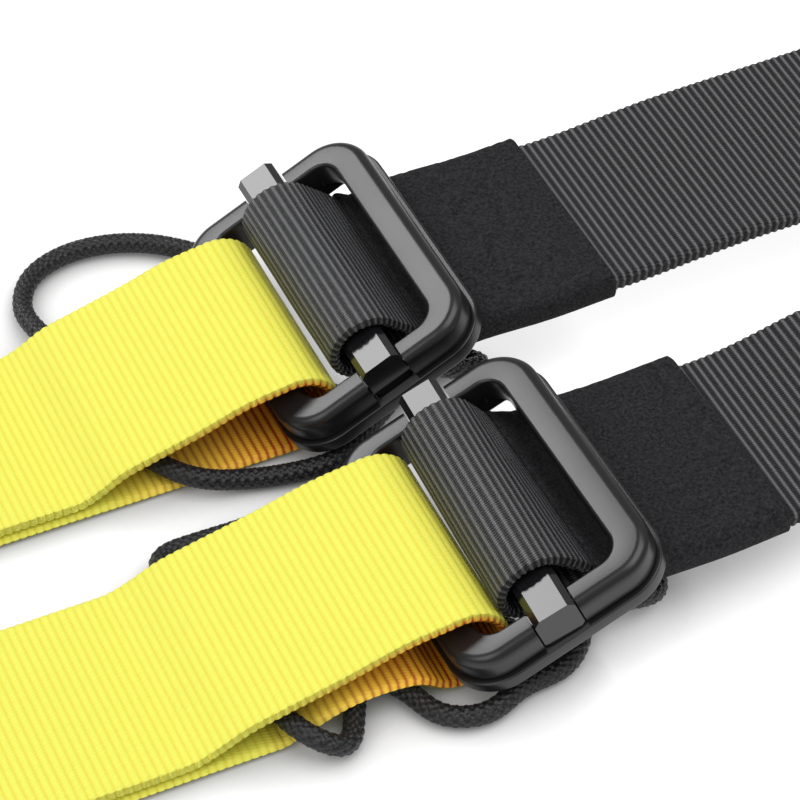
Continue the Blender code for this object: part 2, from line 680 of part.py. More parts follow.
def lower_layer(side, fold):
    """Centre line of the lower layer up to the fold: flat, apart from where the cord lifts it."""
    tail = [(-YELLOW_TAIL_REACH, HALF_WEB)]
    if not side.lift:
        return tail
    high = HALF_WEB + side.lift
    hump = blended_row([
        (-LIFT_END, HALF_WEB), (-LIFT_HIGH_END, high), (-LIFT_HIGH_START, high), fold[0], fold[1],
    ], WEB_THICKNESS)
    return tail + [point for point in hump if point[0] < fold[0][0] - WEB_THICKNESS / 2]


def yellow_path(side):
    """Centre line of the yellow webbing: tail, fold round the ring, stowed runs, anchor fold."""
    start_deg = -90 - LIFT_ARC_DEG if side.lift else -90
    fold = arc(side.bar, LOOP_RADIUS, start_deg, 90 + LOOP_LEAVE_DEG, 2 * FOLD_STEPS)
    path = lower_layer(side, fold)
    leave_x, leave_z = fold[-1]
    run = leave_x + side.landing
    drop = leave_z - UPPER_LAYER_HEIGHT
    fall = [fold[-2], fold[-1]]
    for run_share, drop_share in LOOP_FALL_SHARES:
        fall.append((leave_x - run * run_share, leave_z - drop * drop_share))
    fall.append((-side.landing - run / 4, UPPER_LAYER_HEIGHT))
    fall_row = blended_row(fall, 2 * WEB_THICKNESS)
    path += fold[:-1] + [point for point in fall_row if point[0] < leave_x]
    left = -BUNDLE_START - BUNDLE_RUN
    height = UPPER_LAYER_HEIGHT
    path += [(-BUNDLE_START, height)]
    for number in range(BUNDLE_RUNS - 1):
        going_left = number % 2 == 0
        turn_x = left if going_left else -BUNDLE_START
        centre = (turn_x, height + RUN_PITCH / 2)
        path += arc(centre, RUN_PITCH / 2, -90, -270 if going_left else 90, 8)
        height += RUN_PITCH
    anchor_top = 2 * ANCHOR_LOOP_RADIUS + HALF_WEB
    path.append((left, height))
    anchor_x = anchor_bar_x(side)
    leave = (anchor_x, anchor_top)
    middle = ((left + anchor_x) / 2, (height + anchor_top) / 2)
    path.append(middle)
    path += arc((leave[0], ANCHOR_LOOP_RADIUS + HALF_WEB), ANCHOR_LOOP_RADIUS, 90, 270, FOLD_STEPS)
    path.append((anchor_x + ANCHOR_TAIL, HALF_WEB))
    return path


ANCHOR_LOOP_RADIUS = ANCHOR_BAR_RADIUS + CLEARANCE + HALF_WEB


def anchor_bar_x(side):
    """The anchor ring's right bar, measured from this side's ring centre."""
    return -ANCHOR_BAR_DISTANCE - side.x


def least_self_gap(path, thickness):
    """Smallest distance between stretches of a path that lie apart along it, less its thickness."""
    points = [Vector((x, 0, z)) for x, z in path]
    walked = [0.0]
    for first, second in zip(points, points[1:]):
        walked.append(walked[-1] + (second - first).length)
    apart = pi * RUN_PITCH
    gaps = []
    for index, point in enumerate(points):
        for later in range(index + 1, len(points) - 1):
            if walked[later] - walked[index] < apart:
                continue
            along = points[later + 1] - points[later]
            share = (point - points[later]).dot(along) / along.length_squared
            closest = points[later] + along * min(1.0, max(0.0, share))
            gaps.append((point - closest).length - thickness)
    return min(gaps)


def yellow_strap(side, finish, parent):
    """One length of yellow webbing."""
    path = yellow_path(side)
    body = level_ribbon(path, 0, WEB_WIDTH)
    solid(f"yellow_strap_{side.name}", body, finish, parent, side.level_matrix())
    print(f"yellow_strap_{side.name}: least gap to itself {least_self_gap(path, WEB_THICKNESS):.5f} m")


def black_strap_line(side):
    """Centre points and width directions of the black strap, in the world."""
    sleeve_row = side.sleeve_path()
    level = sleeve_row[-1][1]
    rise_start = sleeve_row[-1][0]
    rise_end = BLACK_BEND_START * 2 / 3
    places = []
    steps = 34
    turned_length = BLACK_BEND_LENGTH + BLACK_STRAP_LENGTH
    straight = BLACK_BEND_START - BLACK_STRAP_START
    total = straight + turned_length
    x, y, heading = BLACK_STRAP_START, 0.0, 0.0
    step_length = total / steps
    for step in range(steps + 1):
        walked = step_length * step
        share = min(1.0, max(0.0, (x - rise_start) / (rise_end - rise_start)))
        z = level + (BLACK_STRAP_LEVEL - level) * (1 - cos(pi * share)) / 2
        if x < rise_start:
            z = sleeve_height_at(sleeve_row, x)
        places.append((Vector((side.x + x, side.y + BAR_LOOP_SHIFT_Y + y, z)), heading))
        bend = min(1.0, max(0.0, (walked - straight) / BLACK_BEND_LENGTH))
        heading = side.turn * (1 - cos(pi * bend)) / 2
        x += step_length * cos(heading)
        y += step_length * sin(heading)
    centres = []
    widths = []
    for step, (place, heading) in enumerate(places):
        hump = sin(pi * step / steps) ** 2
        roll = side.strap_roll * hump
        centres.append(place + Vector((0, 0, side.strap_crest * hump)))
        widths.append((-sin(heading) * cos(roll), cos(heading) * cos(roll), sin(roll)))
    return centres, widths


def sleeve_height_at(row, x):
    """Height of the sleeve's centre line at a place between its points."""
    smooth = blended_row(row, WEB_THICKNESS)
    return min(smooth, key=lambda point: abs(point[0] - x))[1]


def black_strap(side, finish, parent):
    """The black strap from the sleeve to the handle."""
    centres, widths = black_strap_line(side)
    body = ribbon(centres, widths, BAR_LOOP_WIDTH, WEB_THICKNESS)
    solid(f"black_strap_{side.name}", body, finish, parent)


def cam_buckle(side, metal, plastic, steel, parent, cam_pivot):
    """Frame, lever, pin and spring of the length buckle, in the frame of its pin."""
    to_pin = cam_pivot.matrix_world.copy()
    half_length = CAM_FRAME_LENGTH / 2
    half_inner = CAM_INNER_WIDTH / 2
    outer = half_inner + CAM_CHEEK
    floor_z = -CAM_PIN_HEIGHT
    frame = solid(
        f"cam_frame_{side.name}",
        box_mesh((-half_length, -outer, floor_z), (half_length, outer, floor_z + CAM_FLOOR)),
        metal, parent, to_pin,
    )
    half_cheek = CAM_CHEEK_LENGTH / 2
    top = CAM_CHEEK_HEIGHT - CAM_PIN_HEIGHT
    cheek_outline = [(-half_length, floor_z), (half_length, floor_z)]
    cheek_outline += arc((0, top - half_cheek), half_cheek, 0, 180, 8)
    hole_reach = outer + CUT_OVERRUN
    for mark, inner_y in (("left", half_inner), ("right", -outer)):
        cheek = prism(cheek_outline, inner_y, inner_y + CAM_CHEEK, "Y")
        boolean(frame, solid(f"cheek_{mark}_{side.name}", cheek, metal, parent, to_pin), "UNION")
    hole_radius = CAM_PIN_RADIUS + CLEARANCE
    hole = turned([(hole_radius, -hole_reach), (hole_radius, hole_reach)], "Y", closed=False)
    boolean(frame, solid(f"cam_hole_{side.name}", hole, metal, parent, to_pin))

    face = outer + CLEARANCE
    head = face + CAM_PIN_HEAD_LENGTH
    profile = [(CAM_PIN_HEAD, -head), (CAM_PIN_HEAD, -face), (CAM_PIN_RADIUS, -face),
               (CAM_PIN_RADIUS, face), (CAM_PIN_HEAD, face), (CAM_PIN_HEAD, head)]
    solid(f"cam_pin_{side.name}", turned(profile, "Y", closed=False), steel, parent, to_pin)

    lever_low = -half_inner + CLEARANCE
    lever_high = lever_low + CAM_LEVER_WIDTH
    lobe = arc((0, 0), CAM_LOBE_RADIUS, -100, 150, 20)
    lever_top = CAM_LOBE_RADIUS
    lever_under = lever_top - CAM_LEVER_THICKNESS
    arm = [
        (-CAM_LEVER_REACH, lever_top), (-CAM_LEVER_REACH, lever_under),
        (-CAM_LOBE_RADIUS, lever_under - CAM_LEVER_THICKNESS / 2),
    ]
    outline = [point for point in lobe if point[0] > 0 or point[1] < 0] + [(0, lever_top)] + arm
    lever = solid(
        f"cam_lever_{side.name}", prism(outline, lever_low, lever_high, "Y"), plastic, cam_pivot, to_pin
    )
    bore = turned([(hole_radius, -hole_reach), (hole_radius, hole_reach)], "Y", closed=False)
    boolean(lever, solid(f"lever_bore_{side.name}", bore, plastic, cam_pivot, to_pin))

    points = []
    start_y = lever_high + CLEARANCE + SPRING_WIRE_RADIUS
    for step in range(SPRING_TURNS * SPRING_TURN_POINTS + 1):
        angle = 2 * pi * step / SPRING_TURN_POINTS
        y = start_y + SPRING_PITCH * step / SPRING_TURN_POINTS
        across = SPRING_COIL_RADIUS * cos(angle)
        up = SPRING_COIL_RADIUS * sin(angle)
        points.append(to_pin @ Vector((across, y, up)))
    tube(f"cam_spring_{side.name}", points, SPRING_WIRE_RADIUS, 1, steel, parent)
    gap = SPRING_PITCH - 2 * SPRING_WIRE_RADIUS
    print(f"cam_spring_{side.name}: least gap to itself {gap:.5f} m")


def bundle_tie(side, finish, parent):
    """Elastic band round the stowed runs."""
    middle = -BUNDLE_START - BUNDLE_RUN / 2
    inner_half = WEB_WIDTH / 2 + 2 * CLEARANCE
    low = UPPER_LAYER_HEIGHT - HALF_WEB - CLEARANCE
    high = UPPER_LAYER_HEIGHT + (BUNDLE_RUNS - 1) * RUN_PITCH + HALF_WEB + CLEARANCE
    corner = TIE_THICKNESS
    loops = []
    for grow, x in (
        (0, middle - TIE_WIDTH / 2), (TIE_THICKNESS, middle - TIE_WIDTH / 2),
        (TIE_THICKNESS, middle + TIE_WIDTH / 2), (0, middle + TIE_WIDTH / 2),
    ):
        outline = rounded_rectangle(
            inner_half + corner / 2 + grow, (high - low) / 2 + grow, corner / 2 + grow, 3
        )
        loops.append([(x, y, z + (high + low) / 2) for y, z in outline])
    solid(f"bundle_tie_{side.name}", loft(loops, closed=True), finish, parent, side.level_matrix())


def slope_run(height):
    """Run over which the anchor strap's upper layer falls from a height to where it lies flat."""
    return (height - UPPER_LAYER_HEIGHT) / tan(radians(ANCHOR_LEAVE_DEG))


def anchor(sides, metal, strap_finish, plastic, root, gate_pivot, place):
    """Anchor ring, anchor strap and the carabiner with its gate."""
    bar_z = ANCHOR_LOOP_RADIUS + HALF_WEB
    right_x = -ANCHOR_BAR_DISTANCE
    left_x = right_x - ANCHOR_RING_LENGTH
    high_y = max(side.y for side in sides) + WEB_WIDTH / 2 + ANCHOR_RING_CORNER + ANCHOR_BAR_RADIUS
    low_y = min(side.y for side in sides) - WEB_WIDTH / 2 - ANCHOR_RING_CORNER - ANCHOR_BAR_RADIUS
    middle_y = (high_y + low_y) / 2
    outline = rounded_rectangle(ANCHOR_RING_LENGTH / 2, (high_y - low_y) / 2, ANCHOR_RING_CORNER, 6)
    middle_x = (left_x + right_x) / 2
    points = [(x + middle_x, y + middle_y, bar_z) for x, y in outline]
    tube("anchor_ring", points, ANCHOR_BAR_RADIUS, TUBE_RESOLUTION, metal, root, cyclic=True)

    loop_radius = CARABINER_BAR_RADIUS + CLEARANCE + HALF_WEB
    eye_z = loop_radius + HALF_WEB
    eye_x = left_x - ANCHOR_STRAP_LENGTH
    seam = ANCHOR_STRAP_LENGTH / 2
    path = [(left_x - seam + CLEARANCE, HALF_WEB)]
    lean = 90 - ANCHOR_LEAVE_DEG
    path += arc((left_x, bar_z), ANCHOR_LOOP_RADIUS, -90, 180 - lean, FOLD_STEPS)
    path.append((path[-1][0] - slope_run(path[-1][1]), UPPER_LAYER_HEIGHT))
    eye_fold = arc((eye_x, eye_z), loop_radius, lean, 270, FOLD_STEPS)
    path.append((eye_fold[0][0] + slope_run(eye_fold[0][1]), UPPER_LAYER_HEIGHT))
    path += eye_fold
    path.append((left_x - seam - CLEARANCE, HALF_WEB))
    strap = level_ribbon(path, middle_y, ANCHOR_STRAP_WIDTH)
    solid("anchor_strap", strap, strap_finish, root)

    half_width = CARABINER_WIDTH / 2 - CARABINER_BAR_RADIUS
    far_x = eye_x - CARABINER_LENGTH + 2 * CARABINER_BAR_RADIUS
    hinge_x = eye_x - GATE_HINGE_INSET
    nose_x = far_x + GATE_NOSE_INSET
    corners = rounded_rectangle(
        (eye_x - far_x) / 2, half_width, CARABINER_CORNER, 6
    )
    centre_x = (eye_x + far_x) / 2
    count = len(corners)
    quarter = count // 4
    order = list(reversed(corners[:quarter])) + list(reversed(corners[3 * quarter:]))
    order += list(reversed(corners[2 * quarter:3 * quarter])) + list(reversed(corners[quarter:2 * quarter]))
    points = [(hinge_x, middle_y + half_width, eye_z)]
    points += [(x + centre_x, y + middle_y, eye_z) for x, y in order]
    points.append((nose_x, middle_y + half_width, eye_z))
    body = solid("carabiner_body", bent_bar(points, CARABINER_BAR_RADIUS), metal, root)
    gate_y = middle_y + half_width
    place["gate"] = Matrix.Translation((hinge_x + GATE_SLOT_DEPTH / 2, gate_y, eye_z))
    gate_pivot.matrix_world = place["gate"]
    bpy.context.view_layer.update()
    to_pin = place["gate"]
    half_slot = GATE_TONGUE_THICKNESS / 2 + CLEARANCE
    wide = CARABINER_BAR_RADIUS + CUT_OVERRUN
    half_depth = GATE_SLOT_DEPTH / 2
    slot = box_mesh((-half_depth - CUT_OVERRUN, -wide, -half_slot), (half_depth, wide, half_slot))
    boolean(body, solid("gate_slot", slot, metal, root, to_pin))
    hole = GATE_PIN_RADIUS + CLEARANCE
    pin_hole = turned([(hole, -wide), (hole, wide)], "Z", closed=False)
    boolean(body, solid("gate_hole", pin_hole, metal, root, to_pin))

    gate_end = nose_x + GATE_END_GAP - to_pin.translation.x
    shoulder = -half_depth - GATE_SHOULDER_SETBACK
    radius = CARABINER_BAR_RADIUS
    bar = turned([(radius, gate_end), (radius, GATE_TONGUE_PAST_PIN)], "X", closed=False)
    gate = solid("carabiner_gate", bar, metal, gate_pivot, to_pin)
    half_tongue = GATE_TONGUE_THICKNESS / 2
    for mark, low, high in (("top", half_tongue, wide), ("bottom", -wide, -half_tongue)):
        relief = box_mesh((shoulder, -wide, low), (wide, wide, high))
        boolean(gate, solid(f"tongue_{mark}", relief, metal, gate_pivot, to_pin))
    gate_hole = turned([(hole, -wide), (hole, wide)], "Z", closed=False)
    boolean(gate, solid("tongue_hole", gate_hole, metal, gate_pivot, to_pin))
    pin = turned([(GATE_PIN_RADIUS, -radius), (GATE_PIN_RADIUS, radius)], "Z", closed=False)
    solid("gate_pin", pin, metal, root, to_pin)

    lock_high = shoulder - CLEARANCE
    lock_low = lock_high - LOCK_LENGTH
    inner = radius + CLEARANCE
    outer = inner + LOCK_WALL
    round_off = LOCK_WALL / 3
    profile = [
        (inner, lock_low), (outer - round_off, lock_low), (outer, lock_low + round_off),
        (outer, lock_high - round_off), (outer - round_off, lock_high), (inner, lock_high),
    ]
    solid("lock_sleeve", turned(profile, "X"), plastic, gate_pivot, to_pin)
    place["hook"] = Vector((far_x, middle_y, eye_z))


def handle(side, finishes, parent, pivot_for):
    """Webbing, tube, grip, caps and foot loop at the end of the black strap."""
    centres, widths = black_strap_line(side)
    end = centres[-1]
    across = Vector(widths[-1])
    turn = Matrix.Rotation(atan2(-across.x, across.y), 4, "Z")
    to_seam = Matrix.Translation((end.x, end.y, 0)) @ turn
    seam_z = end.z
    tube_z = GRIP_RADIUS
    to_tube = to_seam @ Matrix.Translation((HANDLE_DISTANCE, 0, tube_z))
    pivot = pivot_for(to_tube)

    half_tube = HANDLE_TUBE_LENGTH / 2
    inner = HANDLE_TUBE_RADIUS - HANDLE_TUBE_WALL
    bore = [(inner, -half_tube), (HANDLE_TUBE_RADIUS, -half_tube), (HANDLE_TUBE_RADIUS, half_tube),
            (inner, half_tube)]
    solid(f"handle_tube_{side.name}", turned(bore, "Y"), finishes["tube"], pivot, to_tube)

    cap_inner = HANDLE_TUBE_RADIUS + CLEARANCE
    cap_face = half_tube + CLEARANCE
    grip_half = half_tube - CAP_SKIRT - CLEARANCE
    section = [(cap_inner, -grip_half), (GRIP_RADIUS - GRIP_END_ROUND, -grip_half)]
    section += [(r, a) for a, r in arc((-grip_half + GRIP_END_ROUND, GRIP_RADIUS - GRIP_END_ROUND),
                                       GRIP_END_ROUND, 180, 90, 3)][1:]
    section += [(r, a) for a, r in arc((grip_half - GRIP_END_ROUND, GRIP_RADIUS - GRIP_END_ROUND),
                                       GRIP_END_ROUND, 90, 0, 3)]
    section.append((cap_inner, grip_half))
    solid(f"handle_grip_{side.name}", turned(section, "Y"), finishes["grip"], pivot, to_tube)

    cap_outer = cap_inner + CAP_WALL
    bevel = CAP_THICKNESS / 4
    for mark, sign in (("left", 1), ("right", -1)):
        cap = [
            (CAP_HOLE_RADIUS, cap_face), (cap_inner, cap_face), (cap_inner, half_tube - CAP_SKIRT),
            (cap_outer, half_tube - CAP_SKIRT), (cap_outer, cap_face + CAP_THICKNESS - bevel),
            (cap_outer - bevel, cap_face + CAP_THICKNESS), (CAP_HOLE_RADIUS, cap_face + CAP_THICKNESS),
        ]
        mesh = turned([(r, sign * a) for r, a in cap], "Y")
        solid(f"end_cap_{mark}_{side.name}", mesh, finishes["cap"], pivot, to_tube)

    start = (HANDLE_STRAP_SPREAD * 2, HANDLE_STRAP_WIDTH / 4)
    bend_y = cap_face + CAP_THICKNESS + HANDLE_STRAP_OUTSIDE
    bend = (HANDLE_DISTANCE - HANDLE_BEND_RADIUS, bend_y)
    leave = tangent_angle(bend, HANDLE_BEND_RADIUS, start, -1)
    curl = arc(bend, HANDLE_BEND_RADIUS, leave % 360, 0, 9)
    leg_steps = 14
    half_path = []
    half_widths = []
    layer = HANDLE_STRAP_SPREAD
    for step in range(leg_steps):
        share = step / leg_steps
        x = start[0] + (curl[0][0] - start[0]) * share
        y = start[1] + (curl[0][1] - start[1]) * share
        eased = (1 - cos(pi * share)) / 2
        z = seam_z + layer + (tube_z - seam_z - layer) * eased
        y *= min(1.0, 2 * share + share ** 2)
        half_path.append((x, y, z))
        twist = min(1.0, max(0.0, (share - (1 - TWIST_END_SHARE)) / (TWIST_END_SHARE - TWIST_START_SHARE)))
        half_widths.append(leg_width(twist, start, curl[0]))
    curl_points = [(x, y, tube_z) for x, y in curl]
    upper = [(-HANDLE_SEAM_LENGTH, 0, seam_z + layer)] + half_path + curl_points
    upper_widths = [(0, 1, 0)] + half_widths + [(0, 0, 1)] * len(curl_points)
    lower = []
    lower_widths = []
    for (x, y, z), (wx, wy, wz) in zip(reversed(upper), reversed(upper_widths)):
        lower.append((x, -y, mirror_height(z, seam_z, tube_z, layer)))
        lower_widths.append((-wx, wy, -wz))
    body = ribbon(
        upper + lower, even_signs(upper_widths + lower_widths), HANDLE_STRAP_WIDTH, WEB_THICKNESS
    )
    solid(f"handle_strap_{side.name}", body, finishes["strap"], parent, to_seam)
    foot_loop(side, finishes["strap"], parent, to_seam, start, curl, bend_y)
    return to_tube


def mirror_height(z, seam_z, tube_z, layer):
    """Height on the lower leg: it leaves the seam from below as the upper leg does from above."""
    share = (z - tube_z) / (seam_z + layer - tube_z)
    return tube_z + (seam_z - layer - tube_z) * share


def leg_width(twist, start, end):
    """Width direction that turns from level at the seam to upright at the handle."""
    run = hypot(end[0] - start[0], end[1] - start[1])
    level = ((start[1] - end[1]) / run, (end[0] - start[0]) / run)
    angle = twist * pi / 2
    return (level[0] * cos(angle), level[1] * cos(angle), sin(angle))


def even_signs(widths):
    """The same directions, flipped where needed so that neighbours never point apart."""
    row = [Vector(widths[0])]
    for width in widths[1:]:
        vector = Vector(width)
        row.append(-vector if vector.dot(row[-1]) < 0 else vector)
    return row


def foot_loop(side, finish, parent, to_seam, start, curl, bend_y):
    """Foot cradle: webbing on edge, sewn to the outside of both handle legs."""
    away = (WEB_THICKNESS + FOOT_LOOP_THICKNESS) / 2 + CLEARANCE
    run = hypot(curl[0][0] - start[0], curl[0][1] - start[1])
    along = ((curl[0][0] - start[0]) / run, (curl[0][1] - start[1]) / run)
    outward = (-along[1], along[0])
    first = (curl[0][0] + outward[0] * away, curl[0][1] + outward[1] * away)
    seam_start = (first[0] - along[0] * FOOT_LOOP_SEAM, first[1] - along[1] * FOOT_LOOP_SEAM)
    ahead = (first[0] + along[0] * HANDLE_BEND_RADIUS, first[1] + along[1] * HANDLE_BEND_RADIUS)
    half_width = bend_y + 2 * HANDLE_BEND_RADIUS
    half = [seam_start, first, ahead]
    for reach_share, width_share in FOOT_LOOP_SHARES:
        half.append((HANDLE_DISTANCE + FOOT_LOOP_REACH * reach_share, half_width * width_share))
    whole = half + [(HANDLE_DISTANCE + FOOT_LOOP_REACH, 0)] + [(x, -y) for x, y in reversed(half)]
    middle_z = FOOT_LOOP_WIDTH / 2
    row = smooth_through([(x, y, middle_z) for x, y in whole], HANDLE_BEND_RADIUS)
    body = ribbon(row, [(0, 0, 1)] * len(row), FOOT_LOOP_WIDTH, FOOT_LOOP_THICKNESS)
    solid(f"foot_loop_{side.name}", body, finish, parent, to_seam)


def release_cord(side, finish, parent):
    """Thin cord from one mouth of the cross bar's eye to the other."""
    half = EYE_STEM_LENGTH / 2 + CLEARANCE
    straight = half + CORD_RADIUS
    mouths = []
    for reach in (-half, -straight, straight, half):
        place = Vector((CROSS_BAR_SHIFT_X + reach, EYE_CENTRE_Y, EYE_CENTRE_Z))
        mouths.append(side.bar_matrix() @ place)
    origin = Vector((side.x, side.y, 0))
    route = [origin + Vector(point) for point in side.route]
    points = smooth_through([mouths[1]] + route + [mouths[2]], CORD_POINT_STEP)
    points = [mouths[0]] + points + [mouths[3]]
    tube(f"release_cord_{side.name}", points, CORD_RADIUS, CORD_BEVEL_RESOLUTION, finish, parent)
    length = sum((b - a).length for a, b in zip(points, points[1:]))
    print(f"release_cord_{side.name}: length {length:.4f} m, {len(points)} points")


def centre_on_floor(top):
    """Move the whole object so that the middle of its box, cords aside, stands at the origin."""
    bpy.context.view_layer.update()
    lows = [float("inf")] * 3
    highs = [float("-inf")] * 3
    graph = bpy.context.evaluated_depsgraph_get()
    for piece in bpy.data.objects:
        if piece.type not in {"MESH", "CURVE"} or piece.hide_render or piece.name.startswith("release_cord"):
            continue
        shape = piece.evaluated_get(graph)
        mesh = shape.to_mesh()
        for vert in mesh.vertices:
            place = shape.matrix_world @ vert.co
            for axis in range(3):
                lows[axis] = min(lows[axis], place[axis])
                highs[axis] = max(highs[axis], place[axis])
        shape.to_mesh_clear()
    top.location = (-(lows[0] + highs[0]) / 2, -(lows[1] + highs[1]) / 2, -lows[2])
    bpy.context.view_layer.update()
    print("box", [round(value, 5) for value in lows], [round(value, 5) for value in highs])


def print_place(name, holder):
    """Print where a joint's holder stands, and its three axes."""
    matrix = holder.matrix_world
    axes = [[round(value, 5) for value in matrix.col[axis][:3]] for axis in range(3)]
    print(name, [round(value, 6) for value in matrix.translation], axes)


def build():
    """Make the whole trainer."""
    for old in list(bpy.data.objects):
        bpy.data.objects.remove(old, do_unlink=True)

    cast = material("cast_metal", (0.012, 0.012, 0.013), 0.42, 0.6)
    yellow = material("yellow_webbing", (0.9, 0.72, 0.02), 0.75)
    black = material("black_webbing", (0.02, 0.02, 0.022), 0.8)
    felt = material("sleeve_felt", (0.03, 0.03, 0.032), 0.95)
    cord = material("braided_cord", (0.015, 0.015, 0.016), 0.7)
    steel = material("steel", (0.55, 0.55, 0.56), 0.35, 1.0)
    plastic = material("black_plastic", (0.02, 0.02, 0.02), 0.5)
    foam = material("grip_foam", (0.03, 0.03, 0.032), 0.9)
    finishes = {"tube": plastic, "grip": foam, "cap": plastic, "strap": black}

    top = empty("trainer")
    sides = [
        Side("far", FAR_CENTRE, FAR_TILT_DEG, FAR_YAW_DEG, FAR_LANDING, FAR_LIFT, FAR_SLEEVE_AHEAD,
             FAR_SLEEVE_RISE, FAR_SLEEVE_FALL, FAR_STRAP_CREST, FAR_STRAP_ROLL_DEG, FAR_BAR_SHIFT_Y,
             FAR_BAR_SKEW_DEG, BLACK_STRAP_TURN_DEG, FAR_CORD_ROUTE),
        Side("near", NEAR_CENTRE, NEAR_TILT_DEG, NEAR_YAW_DEG, NEAR_LANDING, NEAR_LIFT, NEAR_SLEEVE_AHEAD,
             NEAR_SLEEVE_RISE, NEAR_SLEEVE_FALL, NEAR_STRAP_CREST, NEAR_STRAP_ROLL_DEG, NEAR_BAR_SHIFT_Y,
             NEAR_BAR_SKEW_DEG, -BLACK_STRAP_TURN_DEG, NEAR_CORD_ROUTE),
    ]
    holders = {}
    for side in sides:
        to_bar = side.ring_matrix() @ Matrix.Translation((-RING_BAR_OFFSET, 0, -RING_HEIGHT / 2))
        ring_pivot = empty(f"ring_pivot_{side.name}", top, to_bar)
        bar_slide = empty(f"bar_slide_{side.name}", ring_pivot, side.ring_matrix())
        ring_buckle(side, cast, ring_pivot)
        sleeve(side, felt, ring_pivot)
        cross_bar(side, cast, bar_slide)
        bar_loop(side, black, bar_slide)
        yellow_strap(side, yellow, top)
        black_strap(side, black, top)
        release_cord(side, cord, top)
        to_pin = Matrix.Translation((side.x - CAM_DISTANCE, side.y, CAM_PIN_HEIGHT))
        cam_pivot = empty(f"cam_pivot_{side.name}", top, to_pin)
        cam_buckle(side, cast, plastic, steel, top, cam_pivot)
        bundle_tie(side, black, top)

        def spin_pivot(matrix, mark=side.name):
            holders[f"handle_spin_{mark}"] = empty(f"handle_pivot_{mark}", top, matrix)
            return holders[f"handle_spin_{mark}"]

        handle(side, finishes, top, spin_pivot)
        holders[f"ring_swing_{side.name}"] = ring_pivot
        holders[f"bar_lift_{side.name}"] = bar_slide
        holders[f"cam_turn_{side.name}"] = cam_pivot
    gate_pivot = empty("gate_pivot", top)
    places = {}
    anchor(sides, steel, black, plastic, top, gate_pivot, places)
    holders["gate_turn"] = gate_pivot
    centre_on_floor(top)
    for name, holder in holders.items():
        print_place(name, holder)
    print("hook", [round(value, 6) for value in top.matrix_world @ places["hook"]])


build()
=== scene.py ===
"""Looks of the suspension trainer: webbing, sleeves, cords, foam and finishes over the fixed frame.

X runs along the straps, from the anchor (-X) to the handles (+X). Y runs across them.
Z is up, and the straps lie on the floor at Z = 0. Lengths are in metres.
"""

from functools import partial
from itertools import product
from math import acos, atan2, ceil, cos, degrees, hypot, pi, radians, sin, tan

import bmesh
import bpy
from bpy.props import FloatProperty, FloatVectorProperty, IntProperty, PointerProperty
from mathutils import Matrix, Vector
from mathutils.noise import noise


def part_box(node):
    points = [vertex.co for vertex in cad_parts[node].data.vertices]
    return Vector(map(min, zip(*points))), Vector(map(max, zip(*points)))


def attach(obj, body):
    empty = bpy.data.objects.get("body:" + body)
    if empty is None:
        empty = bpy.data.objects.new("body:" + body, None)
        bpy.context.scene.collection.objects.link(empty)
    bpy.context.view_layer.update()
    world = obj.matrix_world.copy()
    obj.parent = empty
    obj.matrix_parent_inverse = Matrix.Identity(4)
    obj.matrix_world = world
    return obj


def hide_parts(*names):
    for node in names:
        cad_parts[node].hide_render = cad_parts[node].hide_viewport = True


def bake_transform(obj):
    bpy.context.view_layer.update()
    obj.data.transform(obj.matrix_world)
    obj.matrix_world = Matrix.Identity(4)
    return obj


bl_info = {
    "name": "Suspension trainer looks",
    "version": (1, 0, 0),
    "blender": (4, 5, 0),
    "location": "View3D > Sidebar > Trainer",
    "description": "Builds the webbing, sleeves, cords, grips and finishes of a suspension trainer",
    "category": "Add Mesh",
}

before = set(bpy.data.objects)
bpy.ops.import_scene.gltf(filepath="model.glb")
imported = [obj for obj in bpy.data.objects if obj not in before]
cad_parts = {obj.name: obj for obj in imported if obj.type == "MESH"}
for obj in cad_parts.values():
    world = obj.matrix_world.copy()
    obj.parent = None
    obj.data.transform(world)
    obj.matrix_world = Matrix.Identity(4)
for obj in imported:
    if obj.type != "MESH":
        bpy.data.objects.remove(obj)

# Where the far ring's centre stands in the row frame
ORIGIN_X = 0.039376
ORIGIN_Y = 0.027534

# Clearances and webbing, as the parts are built
CLEARANCE = 0.0003
WEB_WIDTH = 0.038
WEB_THICKNESS = 0.0016
HALF_WEB = WEB_THICKNESS / 2
FOLD_STEPS = 48

# Release ring and cross bar
RING_OPENING_LENGTH = 0.0247
RING_OPENING_WIDTH = 0.042
RING_END_BAR = 0.0058
RING_SIDE_BAR = 0.0044
RING_BODY_HEIGHT = 0.0048
RING_GROOVE_HEIGHT = 0.0004
RING_GROOVE_DEPTH = 0.0003
RING_LIP_HEIGHT = 0.0026
RING_LIP_REACH = 0.0008
RING_OUTER_CORNER = 0.0076
RING_INNER_CORNER = 0.0035
RING_RELIEF_CORNER = 0.0008
RING_RELIEF_HEIGHT = 0.0026
RING_EDGE_ROUND = 0.0018
RING_INNER_ROUND = 0.0006
RING_LIP_ROUND = 0.0005
RING_CORNER_STEPS = 28
NOTCH_SIDE_CLEARANCE = 0.0003
CUT_OVERRUN = 0.001
RING_HEIGHT = RING_BODY_HEIGHT + RING_GROOVE_HEIGHT + RING_LIP_HEIGHT
RING_BAR_OFFSET = (RING_OPENING_LENGTH + RING_END_BAR) / 2
CROSS_BAR_SIZE = 0.007
CROSS_BAR_CHAMFER = 0.00105
CROSS_BAR_SHIFT_X = 0.0006
CROSS_BAR_TURN_Y = 0.02
CROSS_BAR_STANDS_PROUD = 0.002
CROSS_BAR_CENTRE_DROP = CROSS_BAR_SIZE / 2 - CROSS_BAR_STANDS_PROUD
EYE_STEM_WIDTH = 0.0022
EYE_STEM_LENGTH = 0.005
EYE_HOLE_RADIUS = 0.00205
EYE_WALL = 0.0011
EYE_DROP = 0.007
